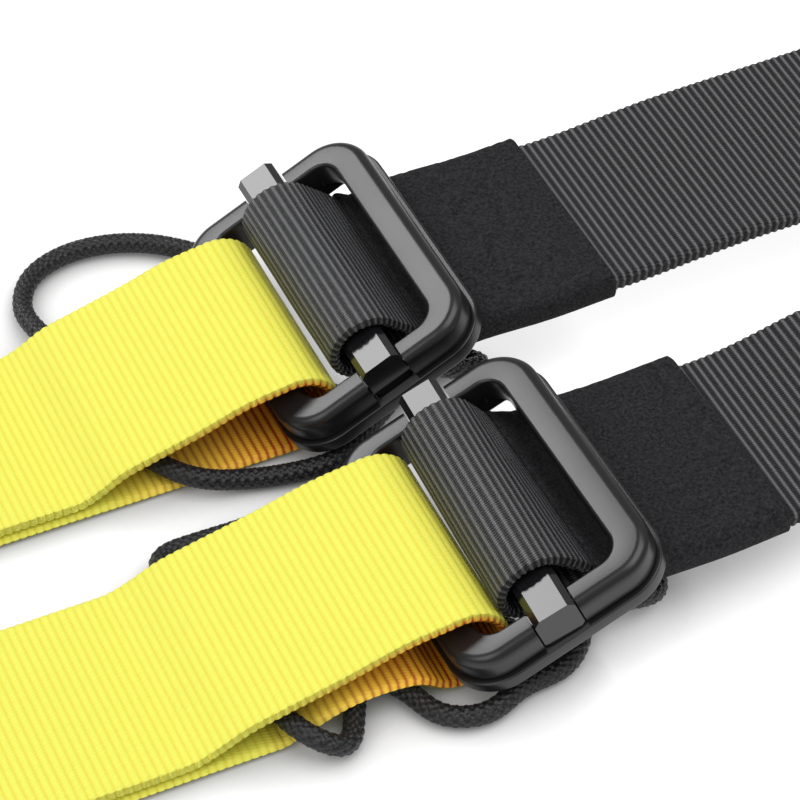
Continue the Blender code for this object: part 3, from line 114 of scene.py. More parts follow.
EYE_RADIUS = EYE_HOLE_RADIUS + EYE_WALL
EYE_CENTRE_Y = -RING_OPENING_WIDTH / 2 + EYE_RADIUS + EYE_STEM_WIDTH / 4
EYE_CENTRE_Z = -CROSS_BAR_CENTRE_DROP - CROSS_BAR_SIZE / 2 - EYE_DROP

# Black webbing folded round the cross bar, and the sleeve over it
BAR_LOOP_WIDTH = 0.0376
BAR_LOOP_SHIFT_Y = 0.0009
BAR_LOOP_TAIL_GAP = 0.0007
BAR_LOOP_REACH = 0.0302
BAR_LOOP_RADIUS = hypot(CROSS_BAR_SIZE / 2, CROSS_BAR_SIZE / 2 - CROSS_BAR_CHAMFER) + CLEARANCE + HALF_WEB
TAIL_OFFSET = (WEB_THICKNESS + BAR_LOOP_TAIL_GAP) / 2
SLEEVE_LENGTH = 0.035
SLEEVE_WIDTH = 0.0404
SLEEVE_WALL = 0.0006
SLEEVE_SHIFT_Y = 0.0005
SLEEVE_SLOT = 2 * WEB_THICKNESS + BAR_LOOP_TAIL_GAP + 2 * CLEARANCE
SLEEVE_HEIGHT = SLEEVE_SLOT + 2 * SLEEVE_WALL

# Yellow loop round the ring's left bar, and the rest of the yellow strap
LOOP_RADIUS = hypot(RING_END_BAR / 2 + RING_LIP_REACH, RING_HEIGHT / 2) + 0.0009 + HALF_WEB
LOOP_LEAVE_DEG = 15.0
UPPER_LAYER_HEIGHT = WEB_THICKNESS + 0.0006 + HALF_WEB
LOOP_FALL_SHARES = (
    (0.18, 0.10), (0.4, 0.33), (0.62, 0.53), (0.76, 0.665), (0.87, 0.86), (0.94, 0.965), (1.0, 1.0),
)
LIFT_ARC_DEG = 33.0
LIFT_HIGH_START = 0.0215
LIFT_HIGH_END = 0.0315
LIFT_END = 0.0425
YELLOW_TAIL_REACH = 0.098
BUNDLE_START = 0.205
BUNDLE_RUN = 0.12
BUNDLE_RUNS = 5
RUN_PITCH = WEB_THICKNESS + 0.0006
TIE_WIDTH = 0.018
TIE_THICKNESS = 0.0012

# Anchor ring, anchor strap and carabiner
ANCHOR_BAR_DISTANCE = 0.375
ANCHOR_TAIL = 0.032
ANCHOR_BAR_RADIUS = 0.004
ANCHOR_LOOP_RADIUS = ANCHOR_BAR_RADIUS + CLEARANCE + HALF_WEB
ANCHOR_RING_LENGTH = 0.034
ANCHOR_STRAP_WIDTH = 0.025
ANCHOR_STRAP_LENGTH = 0.13
ANCHOR_LEAVE_DEG = 30.0
CARABINER_BAR_RADIUS = 0.0045

# Black strap, handle and foot loop
BLACK_STRAP_START = 0.0306
BLACK_STRAP_LEVEL = 0.0165
DOUBLED_EXTRA = 0.0016
FOLD_BULGE = 0.0007
BLACK_BEND_START = 0.115
BLACK_BEND_LENGTH = 0.06
BLACK_STRAP_TURN_DEG = 12.0
BLACK_STRAP_LENGTH = 0.14
HANDLE_DISTANCE = 0.118
HANDLE_TUBE_LENGTH = 0.122
HANDLE_TUBE_RADIUS = 0.0134
GRIP_RADIUS = 0.017
GRIP_END_ROUND = 0.003
CAP_THICKNESS = 0.004
CAP_SKIRT = 0.006
HANDLE_STRAP_WIDTH = 0.019
HANDLE_SEAM_LENGTH = 0.026
HANDLE_STRAP_SPREAD = 0.0025
HANDLE_BEND_RADIUS = 0.009
HANDLE_STRAP_OUTSIDE = 0.006
TWIST_START_SHARE = 0.3
TWIST_END_SHARE = 0.94
FOOT_LOOP_WIDTH = 0.03
FOOT_LOOP_THICKNESS = 0.002
FOOT_LOOP_REACH = 0.125
FOOT_LOOP_SEAM = 0.026
FOOT_LOOP_SHARES = ((0.3, 1.0), (0.6, 0.93), (0.84, 0.66), (0.96, 0.32))

CORD_RADIUS = 0.0018
CORD_POINT_STEP = 0.0078

# Webbing's relief
FADE = 0.006
WANDER = 0.013
SMOOTH_REACH = 0.0008
RIM_SHARE = 0.965
EDGE_ROUND_SHARE = 0.55
EDGE_CROWDING = 0.5
RIDGE_MIDDLE = 0.6
RIM_MIDDLE = 0.8
# Painted shade and bounced light inside the yellow fold: how far it reaches from the ring's bar, and how it
# falls off
FOLD_SHADE_REACH = 0.034
FOLD_SHADE_FALL = 0.8
STEPS_PER_RIB = 6

# Braid of the release cords
CORD_AROUND = 40
STRANDS = 8
STRAND_PITCH = 0.0016
STRAND_DEPTH_SHARE = 0.25
STRAND_FLATNESS = 0.6
STRAND_SHOULDER = 0.65
EASE_ROUNDS = 170
EASE_HELD = 12

# Felt of the sleeves
SLEEVE_STEP = 0.0005
SLEEVE_SHORTER = 2
SLEEVE_CORNER_SHARE = 0.8
SLEEVE_CORNER_STEPS = 8
SLEEVE_FLAT_STEPS = 40
NAP_RATE = 900
NAP_HEIGHT = 0.00006
WAVE_RATE = 120
NAP_WAVE = 0.00015
UNDERSIDE_SHARE = 0.4
PUCKER_INSET = 0.0014
PUCKER_WIDTH = 0.0011
PUCKER_RATE = 900.0
PUCKER_DEPTH = 0.0009

# Angles above which an edge stays sharp
SHARP_DEG = 55.0
CAST_SHARP_DEG = 48.0
BRAID_SHARP_DEG = 75.0
BEVEL_FROM_DEG = 40
BAR_EDGE_ROUND = 0.0002

# Finer divisions of the turned grip and of the band
GRIP_AROUND = 64
GRIP_STEPS = 90
GRIP_ROUND_STEPS = 8
BEVEL_SEGMENTS = 3
TIE_STEPS = 24
TIE_CORNER_STEPS = 6
TIE_RIM_SHARE = 0.3
BEND_STEPS = 24
STRAP_STEPS = 272
STRAP_HEADING_STEPS = 8

# Shader masks
THREAD_SLANT = 0.7
THREAD_NOISE_RATE = 1700.0
# Painted fold shade and bounced light: the valley share at which its crest tone turns to its valley tone,
# and how fast
FOLD_SHADE_FROM = 0.12
FOLD_SHADE_GAIN = 2.4
MOTTLE_FROM = 0.14
MOTTLE_GAIN = 4.0

# Stage
FLOOR_HALF = 6.0
FLOOR_DROP = 0.0003
FLOOR_GREY = 0.25
# The floor glows evenly, and near the objects its glow is dimmed by ambient occlusion: a painted contact
# shadow
FLOOR_GLOW = 0.92
CONTACT_SHADE_REACH = 0.012
CONTACT_SHADE_POWER = 1.5
SOFTBOXES = (
    ("softbox_back", (-0.5, 0.8, 0.9), 0.5, "key_power"),
    ("softbox_left", (-0.9, -0.4, 0.9), 0.7, "fill_power"),
    ("softbox_top", (0.35, -0.35, 1.3), 1.1, "top_power"),
)
CAMERA_LENS_MM = 150.9
CAMERA_SENSOR_MM = 36.0
CAMERA_DISTANCE = 0.55606
CAMERA_TARGET = (0.046536, 0.010764, 0.002115)
CAMERA_AZIMUTH_DEG = -24.51
CAMERA_ELEVATION_DEG = 45.02

# Routes of the release cords in millimetres, from the ring's centre: from the eye's left mouth to its
# right mouth. A point without a height has the cord lying on the floor.
CORD_ON_FLOOR_MM = 1.9
FAR_CORD_ROUTE_MM = (
    (-0.2, -16.3, 3.8), (-2.4, -12.5, 2.9), (-3.5, -7.2, 2.1), (-3.6, 2.0), (-3.6, 12.0), (-4.2, 20.5),
    (-6.2, 26.2), (-10.2, 31.2), (-15.8, 36.2), (-22.2, 39.2), (-28.8, 40.2), (-34.8, 39.0),
    (-39.6, 35.8), (-41.9, 31.5), (-42.7, 26.6, 2.2), (-42.0, 21.6, 3.6), (-40.4, 14.0, 3.9),
    (-39.4, 6.0, 3.85), (-38.4, -4.0, 3.85), (-36.8, -11.5, 3.85), (-34.4, -16.8, 3.9),
    (-31.8, -19.6, 3.7), (-28.8, -21.4, 2.8), (-25.2, -22.2), (-20.5, -23.2), (-16.0, -24.4),
    (-11.8, -25.2), (-7.8, -24.8), (-4.0, -22.6), (1.5, -19.0), (7.0, -15.2), (12.2, -11.9),
    (17.6, -10.2), (22.0, -12.0, 2.1), (23.2, -15.6, 3.0), (20.5, -18.0, 4.8), (15.8, -17.8, 6.8),
)
NEAR_CORD_ROUTE_MM = (
    (-1.2, -16.3, 3.4), (-3.2, -12.5, 2.7), (-4.2, -7.0, 2.1), (-4.4, 2.0), (-4.4, 12.0), (-4.6, 20.2),
    (-6.4, 24.4), (-9.8, 26.2), (-13.4, 26.5), (-18.8, 26.0), (-25.0, 24.8), (-32.2, 24.2), (-39.6, 24.4),
    (-45.4, 23.8, 2.3), (-47.6, 20.5, 3.7), (-47.4, 14.5, 3.8), (-46.3, 6.5, 3.9), (-44.7, -3.0, 4.0),
    (-42.7, -11.8, 4.3), (-40.8, -18.4, 4.9), (-39.3, -21.9, 4.7), (-35.9, -24.5, 2.6), (-32.4, -22.1),
    (-30.6, -17.8), (-29.2, -13.2), (-25.9, -11.6), (-22.6, -13.9), (-21.5, -18.6), (-19.9, -22.8),
    (-16.6, -25.4), (-12.8, -26.5), (-9.4, -25.6), (-5.8, -23.8), (-1.5, -23.5), (3.0, -22.8),
    (6.4, -20.6), (8.4, -16.8), (10.0, -11.8), (13.4, -7.6), (18.6, -6.2), (23.2, -8.8),
    (23.7, -13.8, 2.3), (20.4, -17.2, 3.9), (15.8, -17.6, 5.7),
)


def clamped(value):
    """A value kept from 0 to 1."""
    return min(1.0, max(0.0, value))


def eased(share):
    """A share from 0 to 1 that starts and stops softly."""
    return (1 - cos(pi * share)) / 2


def around(row, index, span=1):
    """What lies before and after one place of a row."""
    return row[max(index - span, 0)], row[min(index + span, len(row) - 1)]


def arc(centre, radius, start_deg, end_deg, steps=FOLD_STEPS):
    """Points of an arc in a plane, both ends included."""
    points = []
    for step in range(steps + 1):
        angle = radians(start_deg + (end_deg - start_deg) * step / steps)
        points.append((centre[0] + radius * cos(angle), centre[1] + radius * sin(angle)))
    return points


def smooth_through(points, step):
    """A Catmull-Rom curve through the points, read at an even spacing."""
    knots = [Vector(point) for point in points]
    knots = [2 * knots[0] - knots[1]] + knots + [2 * knots[-1] - knots[-2]]
    fine = []
    pieces = BEND_STEPS
    for index in range(1, len(knots) - 2):
        before, first, second, after = knots[index - 1:index + 3]
        for piece in range(pieces):
            t = piece / pieces
            fine.append(0.5 * (
                2 * first + (second - before) * t
                + (2 * before - 5 * first + 4 * second - after) * t ** 2
                + (3 * first - before - 3 * second + after) * t ** 3
            ))
    fine.append(knots[-2])
    return resample(fine, step)


def resample(points, step):
    """The same line, read at an even spacing."""
    row = [Vector(point) for point in points]
    lengths = [(b - a).length for a, b in zip(row, row[1:])]
    total = sum(lengths)
    count = max(1, ceil(total / step))
    chosen = [row[0].copy()]
    index, start = 0, 0.0
    for number in range(1, count):
        wanted = total * number / count
        while start + lengths[index] < wanted:
            start += lengths[index]
            index += 1
        share = (wanted - start) / lengths[index]
        chosen.append(row[index].lerp(row[index + 1], share))
    chosen.append(row[-1].copy())
    return chosen


def blended_row(path, step):
    """A smooth, evenly read version of a path in the XZ plane."""
    smooth = smooth_through([(x, 0, z) for x, z in path], step)
    return [(point.x, point.z) for point in smooth]


def tangent_angle(centre, radius, point, sign):
    """Angle at which a line from the point touches the circle, in degrees."""
    away = hypot(point[0] - centre[0], point[1] - centre[1])
    towards = atan2(point[1] - centre[1], point[0] - centre[0])
    return degrees(towards + sign * acos(radius / away))


def offset_rows(path, distance):
    """The path moved to its upper and to its lower side."""
    upper, lower = [], []
    for index, (x, z) in enumerate(path):
        behind, ahead = around(path, index)
        run = hypot(ahead[0] - behind[0], ahead[1] - behind[1])
        over_x, over_z = -(ahead[1] - behind[1]) / run * distance, (ahead[0] - behind[0]) / run * distance
        upper.append((x + over_x, z + over_z))
        lower.append((x - over_x, z - over_z))
    return upper, lower


class Side:
    """Places that follow from one ring's centre and tilt."""

    def __init__(self, name, centre, tilt, yaw, landing, lift, ahead, rise, fall, crest, roll, skew, turn,
                 route):
        self.name, self.route = name, route
        self.x, self.y = centre
        self.tilt, self.yaw, self.turn = radians(tilt), radians(yaw), radians(turn)
        self.landing, self.lift = landing, lift
        self.sleeve_ahead, self.sleeve_rise, self.sleeve_fall = ahead, rise, fall
        self.strap_crest, self.strap_roll, self.bar_skew = crest, radians(roll), radians(skew)
        floor_to_bar = HALF_WEB + LOOP_RADIUS
        self.height = floor_to_bar + RING_BAR_OFFSET * sin(self.tilt) + RING_HEIGHT / 2 * cos(self.tilt)
        self.bar = self.ring_point(-RING_BAR_OFFSET, -RING_HEIGHT / 2)
        self.cross = self.ring_point(CROSS_BAR_SHIFT_X, -CROSS_BAR_CENTRE_DROP)
        self.right_corner = self.ring_point(RING_OPENING_LENGTH / 2, -RING_HEIGHT)

    def ring_point(self, x, z):
        """A point of the ring's frame, as (X, Z) from the ring's centre on the floor."""
        return (
            x * cos(self.tilt) - z * sin(self.tilt),
            self.height + x * sin(self.tilt) + z * cos(self.tilt),
        )

    def place(self, yaw=0.0):
        """Matrix of a frame on the floor under the ring."""
        move = Matrix.Translation((self.x + ORIGIN_X, self.y + ORIGIN_Y, 0))
        return move @ Matrix.Rotation(yaw, 4, "Z")

    def ring_matrix(self):
        """Matrix of the ring's own frame."""
        raised = self.place(self.yaw) @ Matrix.Translation((0, 0, self.height))
        return raised @ Matrix.Rotation(-self.tilt, 4, "Y")

    def bar_matrix(self):
        """Matrix of the cross bar, which may lie askew in its notches."""
        pivot = Vector((CROSS_BAR_SHIFT_X, CROSS_BAR_TURN_Y, 0))
        skew = Matrix.Rotation(self.bar_skew, 4, "Z")
        return self.ring_matrix() @ Matrix.Translation(pivot) @ skew @ Matrix.Translation(-pivot)

    def skewed(self, point, start, end):
        """A point of the fold, moved along with the cross bar between two places."""
        share = clamped((end - point.x) / (end - start))
        along = -(point.y - CROSS_BAR_TURN_Y) * tan(self.bar_skew) * share ** 2 * (3 - 2 * share)
        return point + Vector((along * cos(self.tilt), 0, along * sin(self.tilt)))

    def sleeve_path(self):
        """Centre line of the sleeve, from its mouth inside the ring."""
        corner_x, corner_z = self.right_corner
        under_z = corner_z - 2 * CLEARANCE - SLEEVE_HEIGHT / 2 / cos(self.tilt)
        level_z = under_z - self.sleeve_fall
        mouth = (corner_x - self.sleeve_ahead, under_z + self.sleeve_rise)
        end_x = mouth[0] + SLEEVE_LENGTH
        near_x = corner_x + RING_END_BAR
        return [
            mouth, (corner_x, under_z), (near_x, level_z), ((near_x + end_x) / 2, level_z - CLEARANCE),
            (end_x, level_z + CLEARANCE),
        ]


SIDES = (
    Side("far", (0.0, 0.0), tilt=26.84, yaw=0.3, landing=0.051, lift=0.0, ahead=0.0034, rise=0.0013,
         fall=-0.0013, crest=0.001, roll=4.5, skew=0.0, turn=BLACK_STRAP_TURN_DEG,
         route=FAR_CORD_ROUTE_MM),
    Side("near", (0.00384, -0.05684), tilt=22.44, yaw=1.15, landing=0.0585, lift=0.0041, ahead=0.0054,
         rise=0.0021, fall=-0.0001, crest=0.0, roll=3.0, skew=-2.4, turn=-BLACK_STRAP_TURN_DEG,
         route=NEAR_CORD_ROUTE_MM),
)


def yellow_path(side):
    """Centre line of the yellow webbing: tail, fold round the ring, stowed runs, anchor fold."""
    start_deg = -90 - LIFT_ARC_DEG if side.lift else -90
    fold = arc(side.bar, LOOP_RADIUS, start_deg, 90 + LOOP_LEAVE_DEG)
    coarse = arc(side.bar, LOOP_RADIUS, start_deg, 90 + LOOP_LEAVE_DEG, BEND_STEPS)
    path = [(-YELLOW_TAIL_REACH, HALF_WEB)]
    if side.lift:
        high = HALF_WEB + side.lift
        hump = blended_row([
            (-LIFT_END, HALF_WEB), (-LIFT_HIGH_END, high), (-LIFT_HIGH_START, high), *coarse[:2],
        ], HALF_WEB)
        path += [point for point in hump if point[0] < fold[0][0] - HALF_WEB / 2]
    leave_x, leave_z = fold[-1]
    run = leave_x + side.landing
    drop = leave_z - UPPER_LAYER_HEIGHT
    fall = coarse[-2:]
    for run_share, drop_share in LOOP_FALL_SHARES:
        fall.append((leave_x - run * run_share, leave_z - drop * drop_share))
    fall.append((-side.landing - run / 4, UPPER_LAYER_HEIGHT))
    path += fold[:-1] + [point for point in blended_row(fall, WEB_THICKNESS / 2) if point[0] < leave_x]
    left = -BUNDLE_START - BUNDLE_RUN
    height = UPPER_LAYER_HEIGHT
    path.append((-BUNDLE_START, height))
    for number in range(BUNDLE_RUNS - 1):
        going_left = number % 2 == 0
        centre = (left if going_left else -BUNDLE_START, height + RUN_PITCH / 2)
        path += arc(centre, RUN_PITCH / 2, -90, -270 if going_left else 90, BEND_STEPS // 2)
        height += RUN_PITCH
    path.append((left, height))
    anchor_x = -ANCHOR_BAR_DISTANCE - side.x
    anchor_top = 2 * ANCHOR_LOOP_RADIUS + HALF_WEB
    path.append(((left + anchor_x) / 2, (height + anchor_top) / 2))
    path += arc((anchor_x, ANCHOR_LOOP_RADIUS + HALF_WEB), ANCHOR_LOOP_RADIUS, 90, 270, BEND_STEPS)
    path.append((anchor_x + ANCHOR_TAIL, HALF_WEB))
    return path


def bar_loop_path(side):
    """Centre line of the webbing round the cross bar, from tail to tail."""
    upper, lower = offset_rows(blended_row(side.sleeve_path(), HALF_WEB), TAIL_OFFSET)
    upper_leave = tangent_angle(side.cross, BAR_LOOP_RADIUS, upper[0], 1)
    lower_leave = tangent_angle(side.cross, BAR_LOOP_RADIUS, lower[0], -1)
    fold = arc(side.cross, BAR_LOOP_RADIUS, upper_leave, lower_leave + 360)
    upper = [point for point in upper if point[0] < BAR_LOOP_REACH]
    lower = [point for point in lower if point[0] < BAR_LOOP_REACH]
    return list(reversed(upper)) + fold + lower


def black_strap_line(side):
    """Centre points and width directions of the black strap, before it is placed."""
    sleeve_row = side.sleeve_path()
    smooth = blended_row(sleeve_row, HALF_WEB)
    level = sleeve_row[-1][1]
    rise_start = sleeve_row[-1][0]
    rise_end = BLACK_BEND_START * 2 / 3
    straight = BLACK_BEND_START - BLACK_STRAP_START
    total = straight + BLACK_BEND_LENGTH + BLACK_STRAP_LENGTH
    x, y, heading = BLACK_STRAP_START, 0.0, 0.0
    step_length = total / STRAP_STEPS
    centres, widths = [], []
    for step in range(STRAP_STEPS + 1):
        walked = step_length * step
        share = clamped((x - rise_start) / (rise_end - rise_start))
        z = level + (BLACK_STRAP_LEVEL - level) * eased(share)
        if x < rise_start:
            z = min(smooth, key=lambda point: abs(point[0] - x))[1]
        hump = sin(pi * step / STRAP_STEPS) ** 2
        roll = side.strap_roll * hump
        z += side.strap_crest * hump
        centres.append(Vector((side.x + x + ORIGIN_X, side.y + BAR_LOOP_SHIFT_Y + y + ORIGIN_Y, z)))
        widths.append(Vector((-sin(heading) * cos(roll), cos(heading) * cos(roll), sin(roll))))
        if step % STRAP_HEADING_STEPS == 0:
            heading = side.turn * eased(clamped((walked - straight) / BLACK_BEND_LENGTH))
        x += step_length * cos(heading)
        y += step_length * sin(heading)
    return centres, widths


def handle_lines(side):
    """Centre points and width directions of the handle's webbing and of the foot loop, with their frame."""
    centres, widths = black_strap_line(side)
    end = centres[-1]
    turn = side.turn
    to_seam = Matrix.Translation((end.x, end.y, 0)) @ Matrix.Rotation(turn, 4, "Z")
    seam_z = end.z
    tube_z = GRIP_RADIUS
    start = (HANDLE_STRAP_SPREAD * 2, HANDLE_STRAP_WIDTH / 4)
    bend_y = HANDLE_TUBE_LENGTH / 2 + CLEARANCE + CAP_THICKNESS + HANDLE_STRAP_OUTSIDE
    bend = (HANDLE_DISTANCE - HANDLE_BEND_RADIUS, bend_y)
    leave = tangent_angle(bend, HANDLE_BEND_RADIUS, start, -1)
    curl = arc(bend, HANDLE_BEND_RADIUS, leave % 360, 0, 9)
    leg_steps = 14
    half_path, half_widths = [], []
    layer = HANDLE_STRAP_SPREAD
    run = hypot(curl[0][0] - start[0], curl[0][1] - start[1])
    for step in range(leg_steps):
        share = step / leg_steps
        x = start[0] + (curl[0][0] - start[0]) * share
        y = start[1] + (curl[0][1] - start[1]) * share
        z = seam_z + layer + (tube_z - seam_z - layer) * eased(share)
        y *= min(1.0, 2 * share + share ** 2)
        half_path.append((x, y, z))
        twist = clamped((share - (1 - TWIST_END_SHARE)) / (TWIST_END_SHARE - TWIST_START_SHARE))
        angle = twist * pi / 2
        lean = cos(angle) / run
        half_widths.append(((start[1] - curl[0][1]) * lean, (curl[0][0] - start[0]) * lean, sin(angle)))
    upper = [(-HANDLE_SEAM_LENGTH, 0, seam_z + layer)] + half_path + [(x, y, tube_z) for x, y in curl]
    upper_widths = [(0, 1, 0)] + half_widths + [(0, 0, 1)] * len(curl)
    lower, lower_widths = [], []
    for (x, y, z), (wx, wy, wz) in zip(reversed(upper), reversed(upper_widths)):
        share = (z - tube_z) / (seam_z + layer - tube_z)
        lower.append((x, -y, tube_z + (seam_z - layer - tube_z) * share))
        lower_widths.append((-wx, wy, -wz))
    row = [Vector(upper_widths[0])]
    for width in (upper_widths + lower_widths)[1:]:
        vector = Vector(width)
        row.append(-vector if vector.dot(row[-1]) < 0 else vector)
    away = (WEB_THICKNESS + FOOT_LOOP_THICKNESS) / 2 + CLEARANCE
    along = ((curl[0][0] - start[0]) / run, (curl[0][1] - start[1]) / run)
    first = (curl[0][0] - along[1] * away, curl[0][1] + along[0] * away)
    half = [
        (first[0] - along[0] * FOOT_LOOP_SEAM, first[1] - along[1] * FOOT_LOOP_SEAM), first,
        (first[0] + along[0] * HANDLE_BEND_RADIUS, first[1] + along[1] * HANDLE_BEND_RADIUS),
    ]
    half_width = bend_y + 2 * HANDLE_BEND_RADIUS
    for reach_share, width_share in FOOT_LOOP_SHARES:
        half.append((HANDLE_DISTANCE + FOOT_LOOP_REACH * reach_share, half_width * width_share))
    whole = half + [(HANDLE_DISTANCE + FOOT_LOOP_REACH, 0)] + [(x, -y) for x, y in reversed(half)]
    foot = smooth_through([(x, y, FOOT_LOOP_WIDTH / 2) for x, y in whole], HANDLE_BEND_RADIUS / 3)
    return to_seam, ([Vector(point) for point in upper + lower], row), foot


def web_section(width, thickness, across):
    """Outline of webbing with thin rounded edges, as (place across, height): its top, then its underside."""
    half = width / 2
    edge = thickness * EDGE_ROUND_SHARE
    top = []
    for step in range(across + 1):
        share = 2 * step / across - 1
        place = half * sin(pi / 2 * share) * EDGE_CROWDING + half * share * (1 - EDGE_CROWDING)
        inside = max(0.0, abs(place) - (half - edge)) / edge
        top.append((place, thickness / 2 * max(0.0, 1 - inside ** 2) ** 0.5))
    return top + [(v, -z) for v, z in reversed(top[1:-1])]


def stations_along(points, sides, look):
    """Places along webbing as (length so far, point, width direction), closer where it is fine."""
    lengths = [(b - a).length for a, b in zip(points, points[1:])]
    starts = [0.0]
    for length in lengths:
        starts.append(starts[-1] + length)
    walked, stations, index = 0.0, [], 0
    while walked < starts[-1] - 1e-9:
        while index < len(lengths) - 1 and starts[index + 1] <= walked:
            index += 1
        share = (walked - starts[index]) / max(lengths[index], 1e-9)
        place = points[index].lerp(points[index + 1], share)
        stations.append((walked, place, sides[index].lerp(sides[index + 1], share)))
        fine = look["fine"][0] < place.x < look["fine"][1]
        walked += look["pitch"] / STEPS_PER_RIB if fine else look["coarse_step"]
    return stations + [(starts[-1], points[-1], sides[-1])]


def webbing(name, centres, widths, width, thickness, finish, look, matrix=Matrix.Identity(4), across=24,
            hollow=None, under=0.0):
    """Woven webbing along a row of centre points, with ribs in relief where it is fine.

    A second layer under it, where it hangs above the floor, is given by its thickness.
    Its faces towards the hollow of a fold, if it has one, carry a mask of painted shade and bounced light,
    strongest near the fold.
    """
    turn = matrix.to_3x3()
    points = [matrix @ Vector(point) for point in centres]
    stations = stations_along(points, [(turn @ Vector(w)).normalized() for w in widths], look)
    outline = web_section(width, thickness, across)
    low, high = look["fine"]
    reach = max(1, round(SMOOTH_REACH / look["pitch"] * STEPS_PER_RIB))
    tip = max(range(1, len(stations) - 1), key=lambda number: stations[number][1].x)
    tip_up = (stations[tip + 1][1] - stations[tip - 1][1]).cross(stations[tip][2])
    inner = 1 if hollow is not None and (hollow - stations[tip][1]).dot(tip_up) > 0 else -1
    loops, uvs, reliefs, fold_shades = [], [], [], []
    for number, (walk, place, side) in enumerate(stations):
        fine = low < place.x < high
        behind, ahead = around(stations, number, reach if fine else 1)
        along = (ahead[1] - behind[1]).normalized()
        over = (side - along * side.dot(along)).normalized()
        normal = along.cross(over)
        fade = clamped(min(place.x - low, high - place.x) / FADE) if fine else 0.0
        ridge = abs(sin(pi * (walk / look["pitch"]))) ** look["sharp"]
        lift = look["height"] * (ridge - RIDGE_MIDDLE) * fade
        loop = []
        for spot, (v, z) in enumerate(outline):
            on_rim = abs(v) / (width / 2) > RIM_SHARE
            rim = look["scallop"] * (ridge - RIM_MIDDLE) * fade if on_rim else 0.0
            sign = 1 if z >= 0 else -1
            at = place + over * (v + (rim if v > 0 else -rim))
            at += normal * (z + sign * lift / (2 if on_rim else 1))
            if z < 0:
                at.z -= min(under, max(0.0, place.z - thickness / 2))
            at += normal * noise(Vector((walk / WANDER, v / WANDER, look["seed"]))) * look["wander"]
            loop.append(at)
            inward = hollow is not None and sign == inner
            reliefs.append(fade)
            # Painted shade and bounced light inside the fold, strongest at its hollow
            fold_shades.append(clamped(1 - (hollow.x - place.x) / FOLD_SHADE_REACH) ** FOLD_SHADE_FALL if inward else 0.0)
            uvs.append((walk, v if spot <= across else v + 1.0))
        loops.append(loop)
    piece = lofted(name, loops, finish, False, SHARP_DEG, {"relief": reliefs, "depth": fold_shades})
    uv = piece.data.uv_layers.new(name="Along")
    for corner in piece.data.loops:
        uv.data[corner.index].uv = uvs[corner.vertex_index]
    return piece


def solid(name, points, faces, finish, sharp_deg=SHARP_DEG, masks=None):
    """A mesh object with its material and masks, its faces outwards and smooth."""
    mesh = bpy.data.meshes.new(name)
    mesh.from_pydata(points, [], faces)
    for label, values in (masks or {}).items():
        mesh.attributes.new(label, "FLOAT", "POINT").data.foreach_set("value", values)
    made = bmesh.new()
    made.from_mesh(mesh)
    bmesh.ops.recalc_face_normals(made, faces=made.faces)
    made.to_mesh(mesh)
    made.free()
    mesh.materials.append(finish)
    mesh.shade_smooth()
    mesh.set_sharp_from_angle(angle=radians(sharp_deg))
    piece = bpy.data.objects.new(name, mesh)
    bpy.context.scene.collection.objects.link(piece)
    return piece


def lofted(name, loops, finish, closed=True, sharp_deg=SHARP_DEG, masks=None):
    """Skin over a row of equal loops, which meets its start or has an end face at each end."""
    count = len(loops[0])
    pairs = [(row, row + 1) for row in range(len(loops) - 1)]
    if closed:
        pairs.append((len(loops) - 1, 0))
    faces = []
    for first, second in pairs:
        for spot in range(count):
            after = (spot + 1) % count
            faces.append((
                first * count + spot, first * count + after, second * count + after, second * count + spot,
            ))
    if not closed:
        faces.append(tuple(reversed(range(count))))
        faces.append(tuple(range((len(loops) - 1) * count, len(loops) * count)))
    return solid(name, [point for loop in loops for point in loop], faces, finish, sharp_deg, masks)


def level(path, shift_y=0.0):
    """A path in the XZ plane as centre points, and its width directions."""
    return [(x, shift_y, z) for x, z in path], [(0, 1, 0)] * len(path)


def rounded_rectangle(half_x, half_y, corner, steps, flat_steps=1):
    """Outline of a rounded rectangle, counter-clockwise from +X, with its sides along X divided."""
    points = []
    for sign_x, sign_y, start in ((1, 1, 0), (-1, 1, 90), (-1, -1, 180), (1, -1, 270)):
        centre = (sign_x * (half_x - corner), sign_y * (half_y - corner))
        points += arc(centre, corner, start, start + 90, steps)
        if sign_x == sign_y:
            for step in range(1, flat_steps):
                points.append((centre[0] - 2 * centre[0] * step / flat_steps, sign_y * half_y))
    return points


def ring_section():
    """Section of the cast ring as (reach beyond the edge, height, corner radius), outside then inside."""
    lip_top = -RING_BODY_HEIGHT - RING_GROOVE_HEIGHT
    fold = RING_GROOVE_DEPTH
    lip = (RING_LIP_REACH - RING_LIP_ROUND, -RING_HEIGHT + RING_LIP_ROUND)
    section = arc(lip, RING_LIP_ROUND, -90, 0, 6)
    section += arc((RING_LIP_REACH - fold, lip_top - fold), fold, 0, 90, 5)
    section += [(-fold, lip_top), (-fold, -RING_BODY_HEIGHT)]
    section += arc((-fold, -RING_BODY_HEIGHT + fold), fold, -90, 0, 5)
    section += arc((-RING_EDGE_ROUND, -RING_EDGE_ROUND), RING_EDGE_ROUND, 0, 90, 14)
    rows = [(reach, z, RING_OUTER_CORNER) for reach, z in section]
    inside = arc((RING_INNER_ROUND, -RING_INNER_ROUND), RING_INNER_ROUND, 90, 180, 7)
    rows += [(reach, z, RING_INNER_CORNER) for reach, z in inside]
    relief_z = -RING_HEIGHT + RING_RELIEF_HEIGHT
    rows += [(0, relief_z, RING_INNER_CORNER), (0, relief_z - CLEARANCE, RING_RELIEF_CORNER)]
    under = arc((RING_INNER_ROUND, -RING_HEIGHT + RING_INNER_ROUND), RING_INNER_ROUND, 180, 270, 5)
    return rows + [(reach, z, RING_RELIEF_CORNER) for reach, z in under]


